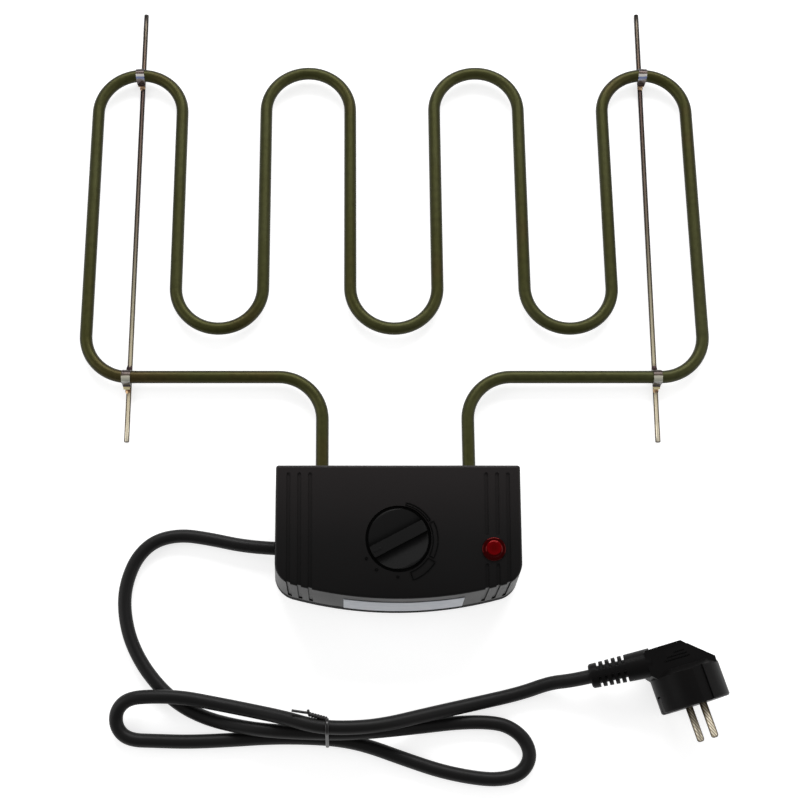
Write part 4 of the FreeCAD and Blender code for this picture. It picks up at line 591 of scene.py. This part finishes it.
def makeRods():
    # a circle carried along the rod, its radius less by the chamfer at both ends
    for word in ("left", "right"):
        y = np.array([rods["front"], rods["front"] + rods["chamfer"], *np.linspace(-80, 180, 27),
                      rods["rear"] - rods["chamfer"], rods["rear"]])
        radius = np.full(len(y), rods["radius"])
        radius[[0, -1]] -= rods["chamfer"]
        path = np.stack([rodX(word, y), y, np.full(len(y), rods["radius"])], -1) * mm
        profiles = circle(1.0, 24)[None] * (radius * mm)[:, None, None]
        points, faces = carry(path, profiles)
        piece = meshPiece("supportRod." + word, points, faces, materials["annealed_wire"])
        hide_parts("support_rod_" + word)


makeRods()
print("support rods made")

# Rod clips: a strap bent over the tube, its tab welded to the rod

clips = {
    "thick": 0.5, "width": 5.1, "tabWidth": 3.6, "narrowing": 2.0, "tubeRadius": 3.7, "bendRadius": 0.5,
    "offTube": 0.03, "offRod": 0.02, "sunk": 0.3, "stand": 1.2,
    "places": {
        "rear_left": {"tab": 1.3, "rearTab": 0.0, "skew": 3.0, "shift": -1.1},
        "rear_right": {"tab": 1.3, "rearTab": 0.0, "skew": -3.0, "shift": 0.6},
        "front_left": {"tab": 2.2, "rearTab": 1.0, "skew": -2.0, "shift": -1.0},
        "front_right": {"tab": 2.0, "rearTab": 1.0, "skew": 2.0, "shift": 0.3},
    },
}


def roundedBar(width, thick, steps=5):
    # outline of a bar with round edges, thickness along the first axis
    r = thick * 0.32
    corners = [(thick / 2 - r, width / 2 - r, 0), (-thick / 2 + r, width / 2 - r, 90),
               (-thick / 2 + r, -width / 2 + r, 180), (thick / 2 - r, -width / 2 + r, 270)]
    return np.concatenate([arc((a, b, 0), r, turn, turn + 90, steps)[:, :2] for a, b, turn in corners])


def strapPath(tab, rearTab):
    # side view of the strap, (y, z) from the tube's axis: rear foot or tab, leg, arch, leg, front tab
    c = clips
    middle = c["tubeRadius"] + c["thick"] / 2 + c["offTube"]
    low = c["thick"] / 2 + c["offRod"] - c["tubeRadius"]
    r = c["bendRadius"]
    if rearTab:
        rear = [[(middle + r + rearTab, low), (middle + r + rearTab / 2, low)],
                arc((middle + r, low + r, 0), r, 270, 180, 7)[:, :2]]
    else:
        rear = [[(middle, low - c["sunk"]), (middle, low + c["stand"])]]
    front = [arc((-middle - r, low + r, 0), r, 0, -90, 7)[:, :2],
             [(-middle - r - tab / 2, low), (-middle - r - tab, low)]]
    return np.concatenate(rear + [arc((0, 0, 0), middle, 0, 180, 37)[:, :2]] + front)


def makeClips():
    # the bar's outline carried along the side view, narrower past the tube, turned askew and set on its rod
    for word, place in clips["places"].items():
        end, side = word.split("_")
        flat = strapPath(place["tab"], place["rearTab"])
        path = np.stack([np.zeros(len(flat)), flat[:, 0], flat[:, 1]], -1)
        middle = clips["tubeRadius"] + clips["thick"] / 2
        past = np.clip((np.abs(flat[:, 0]) - middle) / clips["narrowing"], 0, 1)
        width = clips["width"] + (clips["tabWidth"] - clips["width"]) * past
        bar = roundedBar(clips["width"], clips["thick"])
        profiles = np.repeat(bar[None], len(path), 0)
        profiles[..., 1] *= (width / clips["width"])[:, None]
        ahead = np.gradient(path, axis=0)
        ahead /= np.linalg.norm(ahead, axis=1)[:, None]
        across = np.array([1.0, 0, 0])
        normal = np.cross(across, ahead)
        points = path[:, None] + profiles[..., :1] * normal[:, None] + profiles[..., 1:] * across
        skew = math.radians(place["skew"])
        x = points[..., 0] * math.cos(skew) - points[..., 1] * math.sin(skew)
        y = points[..., 0] * math.sin(skew) + points[..., 1] * math.cos(skew)
        points = np.stack([x + place["shift"], y, points[..., 2]], -1)
        points += [rodX(side, strapPlace[end]), strapPlace[end], element["height"]]
        rows, columns = points.shape[:2]
        faces = gridFaces(rows, columns).tolist() + endFaces(rows, columns)
        piece = meshPiece("rodClip." + word, points.reshape(-1, 3) * mm, faces, straps[end])
        recalculate(piece)
        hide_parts("rod_clip_" + word)
        front = -middle - clips["bendRadius"] - place["tab"]
        makeWeld(word, place, "front", front - weldShape["front"]["past"])
        if place["rearTab"]:
            rear = middle + clips["bendRadius"] + place["rearTab"]
            makeWeld(word, place, "rear", rear + weldShape["rear"]["past"])


weldShape = {"halfWidth": 1.8, "rise": 0.95, "height": 2.3, "waves": (0.10, 0.06), "taper": (0.88, 0.22),
             "aside": 0.2,
             "front": {"past": 0.9, "halfLength": 2.3, "seed": 0.0},
             "rear": {"past": 1.5, "halfLength": 2.9, "seed": 2.1}}


def makeWeld(word, place, which, along):
    # a lump on top of the rod: a ball stretched along the rod, swollen by a few waves, drawn out at one end
    end, side = word.split("_")
    seed = weldShape[which]["seed"]
    wide, narrow = weldShape["waves"]
    least, more = weldShape["taper"]
    u = np.linspace(0, math.pi, 17)[:, None]
    v = np.linspace(0, 2 * math.pi, 28, endpoint=False)[None]
    swell = 1 + wide * np.sin(3 * v + seed + place["skew"]) * np.sin(u) ** 2
    swell = swell + narrow * np.cos(5 * v + 2 * u)
    taper = least + more * np.cos(u) * (1 if which == "front" else -1)
    x = weldShape["halfWidth"] * swell * taper * np.sin(u) * np.cos(v)
    y = weldShape[which]["halfLength"] * np.cos(u) + 0 * v
    z = weldShape["rise"] * swell * taper * np.sin(u) * np.sin(v)
    middle = rodX(side, strapPlace[end] + along) + place["shift"] * weldShape["aside"]
    points = np.stack([x + middle, y + strapPlace[end] + along, z + weldShape["height"]], -1)
    faces = gridFaces(17, 28).tolist()
    metal = welds[end + " " + which]
    piece = meshPiece(f"weld.{word}.{which}", points.reshape(-1, 3) * mm, faces, metal)
    recalculate(piece)


makeClips()
print("clips made")

# Copies of the moulded nodes with soft edges

def softCopy(node, name, width, slotName, rides=body, angle=32.0):
    # a copy of a node's mesh, its double points merged and its flat faces joined, with bevelled edges
    source = frame["nodes"][node]
    data = source.data.copy()
    data.name = name
    work = bmesh.new()
    work.from_mesh(data)
    bmesh.ops.remove_doubles(work, verts=work.verts, dist=2e-6)
    bmesh.ops.dissolve_limit(work, angle_limit=math.radians(1.0), verts=work.verts, edges=work.edges)
    work.to_mesh(data)
    work.free()
    piece = bpy.data.objects.new(name, data)
    bpy.context.scene.collection.objects.link(piece)
    data.materials.clear()
    data.materials.append(materials[slotName])
    data.polygons.foreach_set("use_smooth", np.full(len(data.polygons), True))
    if width:
        bevel = piece.modifiers.new("soft edges", "BEVEL")
        bevel.width = width * mm
        bevel.segments = 2
        bevel.limit_method = "ANGLE"
        bevel.angle_limit = math.radians(angle)
        bevel.miter_outer = "MITER_ARC"
    even = piece.modifiers.new("even shading", "WEIGHTED_NORMAL")
    even.keep_sharp = True
    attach(piece, rides)
    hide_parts(node)
    return piece


softCopy("upper_housing", "upperHousing", 0.3, "black_abs")
lowerPiece = softCopy("lower_housing", "lowerHousing", 0.3, "black_abs")
lowerPiece.data.materials[0] = lowerPlastic
softCopy("knob", "knobCap", 0.3, "knob_abs", rides="dial")
softCopy("lamp_lens", "lampLens", 0.25, "lamp_red")
softCopy("rating_plate", "ratingPlate", 0.0, "label_foil")
plugPiece = softCopy("plug_body", "plugBody", 0.35, "plug_rubber", angle=28.0)
print("housing dressed")

# Dial scale: raised lines round the knob

dial = {"middle": (0, -157.8, 43.88), "tilt": 8.53, "inner": 18.8, "height": 0.26, "line": (0.2, 0.3),
        "fields": ((12, 60, 1.3), (62, 119, 2.6), (121, 161, 4.4)), "marks": (181, 216, 239),
        "markAway": 20.2, "markRadius": 0.55}


def clockPoint(radius, clock):
    # a point on the face, the clock angle in degrees from the rear and turning to the right
    angle = np.radians(np.asarray(clock, float))
    height = np.full(angle.shape, dial["height"])
    return np.stack([radius * np.sin(angle), radius * np.cos(angle), height], -1)


def makeDialScale():
    # a field is an arc out and a wider one back, a mark a circle: an oval carried round each, then tilted
    loops = []
    for first, final, across in dial["fields"]:
        turn = np.linspace(first + 1.0, final - 1.0, 24)
        outer = clockPoint(dial["inner"] + across, turn[::-1])
        loops.append(np.concatenate([clockPoint(dial["inner"], turn), outer]))
    for clock in dial["marks"]:
        loops.append(arc(clockPoint(dial["markAway"], [clock])[0], dial["markRadius"], 0, 345, 24))
    rise, half = dial["line"]
    profile = circle(1.0, 12) * [rise, half]
    points, faces = joined([carry(loop, profile, closed=True) for loop in loops])
    tilt = math.radians(dial["tilt"])
    turned = np.stack([points[:, 0], points[:, 1] * math.cos(tilt) - points[:, 2] * math.sin(tilt),
                       points[:, 1] * math.sin(tilt) + points[:, 2] * math.cos(tilt)], -1)
    piece = meshPiece("dialScale", (turned + dial["middle"]) * mm, faces, lineShadeBlack)
    recalculate(piece)


makeDialScale()
print("dial scale drawn")

# Plug pins and earth contacts, in the plug's own frame: x along the face, y to the back

pins = {"radius": 2.0, "shank": 1.8, "apart": 19.0, "roll": 80.0, "length": 19.0, "inside": 9.5,
        "tip": 1.6, "flat": 0.35, "stripWidth": 3.6, "stripThick": 0.8,
        "stripBow": ((0.3, 17.6), (0.5, 18.4), (1.2, 18.75), (5.0, 18.9), (8.3, 18.75), (9.0, 18.3),
                     (9.3, 17.4))}


def inPlugFrame(points):
    # from the plug's own frame in millimetres to the scene's in metres
    matrix = np.array(plugMatrix)
    return points * mm @ matrix[:3, :3].T + matrix[:3, 3]


def makePins():
    # a circle carried along the pin, its radius growing with the sine of a quarter turn over the round nose
    turn = np.linspace(0, math.pi / 2, 9)
    along = np.concatenate([pins["tip"] * (1 - np.cos(turn)) - pins["length"], [-0.05, 0.0, pins["inside"]]])
    nose = pins["radius"] * (pins["flat"] + (1 - pins["flat"]) * np.sin(turn))
    radius = np.concatenate([nose, [pins["radius"], pins["shank"], pins["shank"]]])
    roll = math.radians(pins["roll"])
    parts = []
    for side in (1, -1):
        middle = np.array([math.cos(roll), 0, math.sin(roll)]) * pins["apart"] / 2 * side
        path = np.stack([np.zeros(len(along)), along, np.zeros(len(along))], -1) + middle
        parts.append(carry(path, circle(1.0, 28)[None] * radius[:, None, None]))
    points, faces = joined(parts)
    piece = meshPiece("plugPins", inPlugFrame(points), faces, materials["plug_pin"])
    recalculate(piece)
    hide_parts("plug_pins")
    return piece


def makeContacts():
    # each strip is a flat section carried along its outward bow, its width tangent to the round head
    along, away = np.array(pins["stripBow"]).T
    depth, width = np.array([(0, -0.5), (0, 0.5), (-1, 0.5), (-1, -0.5)]).T
    parts = []
    for side in (0, 180):
        angle = math.radians(pins["roll"] - 90 + side)
        out = np.array([math.cos(angle), 0, math.sin(angle)])
        across = np.array([-math.sin(angle), 0, math.cos(angle)])
        reach = away[:, None, None] + (depth * pins["stripThick"])[None, :, None]
        points = reach * out + (width * pins["stripWidth"])[None, :, None] * across
        points[..., 1] += along[:, None]
        parts.append((points.reshape(-1, 3), gridFaces(len(along), 4).tolist() + endFaces(len(along), 4)))
    points, faces = joined(parts)
    piece = meshPiece("earthContacts", inPlugFrame(points), faces, contactSteel, smooth=False)
    recalculate(piece)
    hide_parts("plug_earth_contacts")
    return piece


pinPiece = makePins()
contactPiece = makeContacts()
print("plug pins made")

# Twist tie: coated wire once round three strands, its ends twisted together and one left long

tie = {"x": -38.4, "low": (-260.3, 5.1), "high": (-255.4, 22.4), "away": 4.35, "flat": (0.45, 0.95),
       "wire": 0.72, "from": (-38.8, -251.2, 23.4), "to": (-47.7, -248.9, 24.2),
       "tail": (-57.4, -246.9, 24.6), "stub": (-48.6, -246.6, 25.4), "turns": 3.0, "twist": 0.62}


def makeTie():
    # the band is two half circles with straight sides, each end a helix round a line and a straight tail
    low, high = np.array(tie["low"]), np.array(tie["high"])
    ahead = (high - low) / np.linalg.norm(high - low)
    aside = np.array([-ahead[1], ahead[0]])
    turn = np.linspace(0, math.pi, 19)[:, None]
    upper = high + tie["away"] * (np.cos(turn) * aside + np.sin(turn) * ahead)
    lower = low + tie["away"] * (-np.cos(turn) * aside - np.sin(turn) * ahead)
    loop = np.concatenate([upper, lower])
    loop = np.concatenate([np.full((len(loop), 1), tie["x"]), loop], 1)
    # the band's width lies along x, so its profile is set from the loop's own normals
    along = np.roll(loop, -1, 0) - np.roll(loop, 1, 0)
    along /= np.linalg.norm(along, axis=1)[:, None]
    normal = np.cross(along, [1.0, 0, 0])
    profile = circle(1.0, 14)[None] * tie["flat"]
    band = loop[:, None] + profile[..., :1] * normal[:, None] + profile[..., 1:] * np.array([1.0, 0, 0])
    parts = [(band.reshape(-1, 3), gridFaces(len(loop), 14, wrapRows=True).tolist())]
    start, end = np.array(tie["from"]), np.array(tie["to"])
    axis = (end - start) / np.linalg.norm(end - start)
    side = np.cross(axis, [0, 0, 1.0])
    side /= np.linalg.norm(side)
    other = np.cross(axis, side)
    share = np.linspace(0, 1, 40)[:, None]
    for phase, last in ((0, tie["tail"]), (math.pi, tie["stub"])):
        angle = share * tie["turns"] * 2 * math.pi + phase
        away = np.cos(angle) * side + np.sin(angle) * other
        twisted = start + (end - start) * share + tie["twist"] * away
        leave = np.array(last) - twisted[-1]
        path = np.concatenate([twisted, twisted[-1] + leave * np.array([[0.35], [0.7], [1.0]])])
        parts.append(carry(path, circle(tie["wire"], 12)))
    points, faces = joined(parts)
    piece = meshPiece("twistTie", points * mm, faces, materials["tie_paper"])
    recalculate(piece)
    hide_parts("twist_tie")
    return piece


tiePiece = makeTie()
print("cord tied")

# Floor, light and world

studio = {"floor": 6.0, "drop": 0.0002, "floorWhite": 0.6, "glow": 0.7, "world": 0.34,
          "lamps": {"left": ((-1.5, -0.1, 0.8), (1.2, 1.0), 8), "right": ((1.5, -0.1, 0.8), (1.2, 1.0), 6),
                    "rear": ((0.1, 1.5, 1.2), (2.0, 0.7), 38)}}


def makeStudio():
    # a floor that glows to the camera and in reflections only, a white world that lights less than it shows,
    # and three lamps
    made, tree, shader = newMaterial("plain white floor", Roughness=0.7)
    shader.inputs["Base Color"].default_value = [studio["floorWhite"]] * 3 + [1]
    shader.inputs["Specular IOR Level"].default_value = 0.0
    path = addNode(tree, "LightPath")
    seen = addNode(tree, "Math", {"operation": "MAXIMUM"},
                   {0: (path, "Is Camera Ray"), 1: (path, "Is Glossy Ray")})
    seen = addNode(tree, "Math", {"operation": "MAXIMUM"},
                   {0: (seen, 0), 1: (path, "Is Transmission Ray")})
    level = addNode(tree, "Math", {"operation": "MULTIPLY", 1: studio["glow"]}, {0: (seen, 0)})
    glow = addNode(tree, "Emission", {"Color": [1, 1, 1, 1]}, {"Strength": (level, 0)})
    both = addNode(tree, "AddShader", links={0: (shader, 0), 1: (glow, 0)})
    connect(tree, tree.nodes["Material Output"], {"Surface": (both, 0)})
    half = studio["floor"] / 2
    data = bpy.data.meshes.new("floor")
    corners = [(-half, -half, 0), (half, -half, 0), (half, half, 0), (-half, half, 0)]
    data.from_pydata(corners, [], [(0, 1, 2, 3)])
    floor = bpy.data.objects.new("floor", data)
    floor.location.z = -studio["drop"]
    data.materials.append(made)
    bpy.context.scene.collection.objects.link(floor)
    world = bpy.data.worlds.new("studio")
    bpy.context.scene.world = world
    world.use_nodes = True
    tree = world.node_tree
    path = addNode(tree, "LightPath")
    back = tree.nodes["Background"]
    back.inputs["Color"].default_value = (1, 1, 1, 1)
    level = addNode(tree, "MapRange", {"To Min": studio["world"], "To Max": 1.0},
                    {"Value": (path, "Is Camera Ray")})
    connect(tree, back, {"Strength": (level, 0)})
    for name, (place, size, power) in studio["lamps"].items():
        light = bpy.data.lights.new(name, "AREA")
        light.shape = "RECTANGLE"
        light.size, light.size_y = size
        light.energy = power
        lamp = bpy.data.objects.new(name, light)
        lamp.location = place
        lamp.rotation_euler = (-Vector(place)).to_track_quat("-Z", "Y").to_euler()
        bpy.context.scene.collection.objects.link(lamp)


makeStudio()
bpy.context.scene.view_settings.view_transform = "Standard"
print("studio lit")
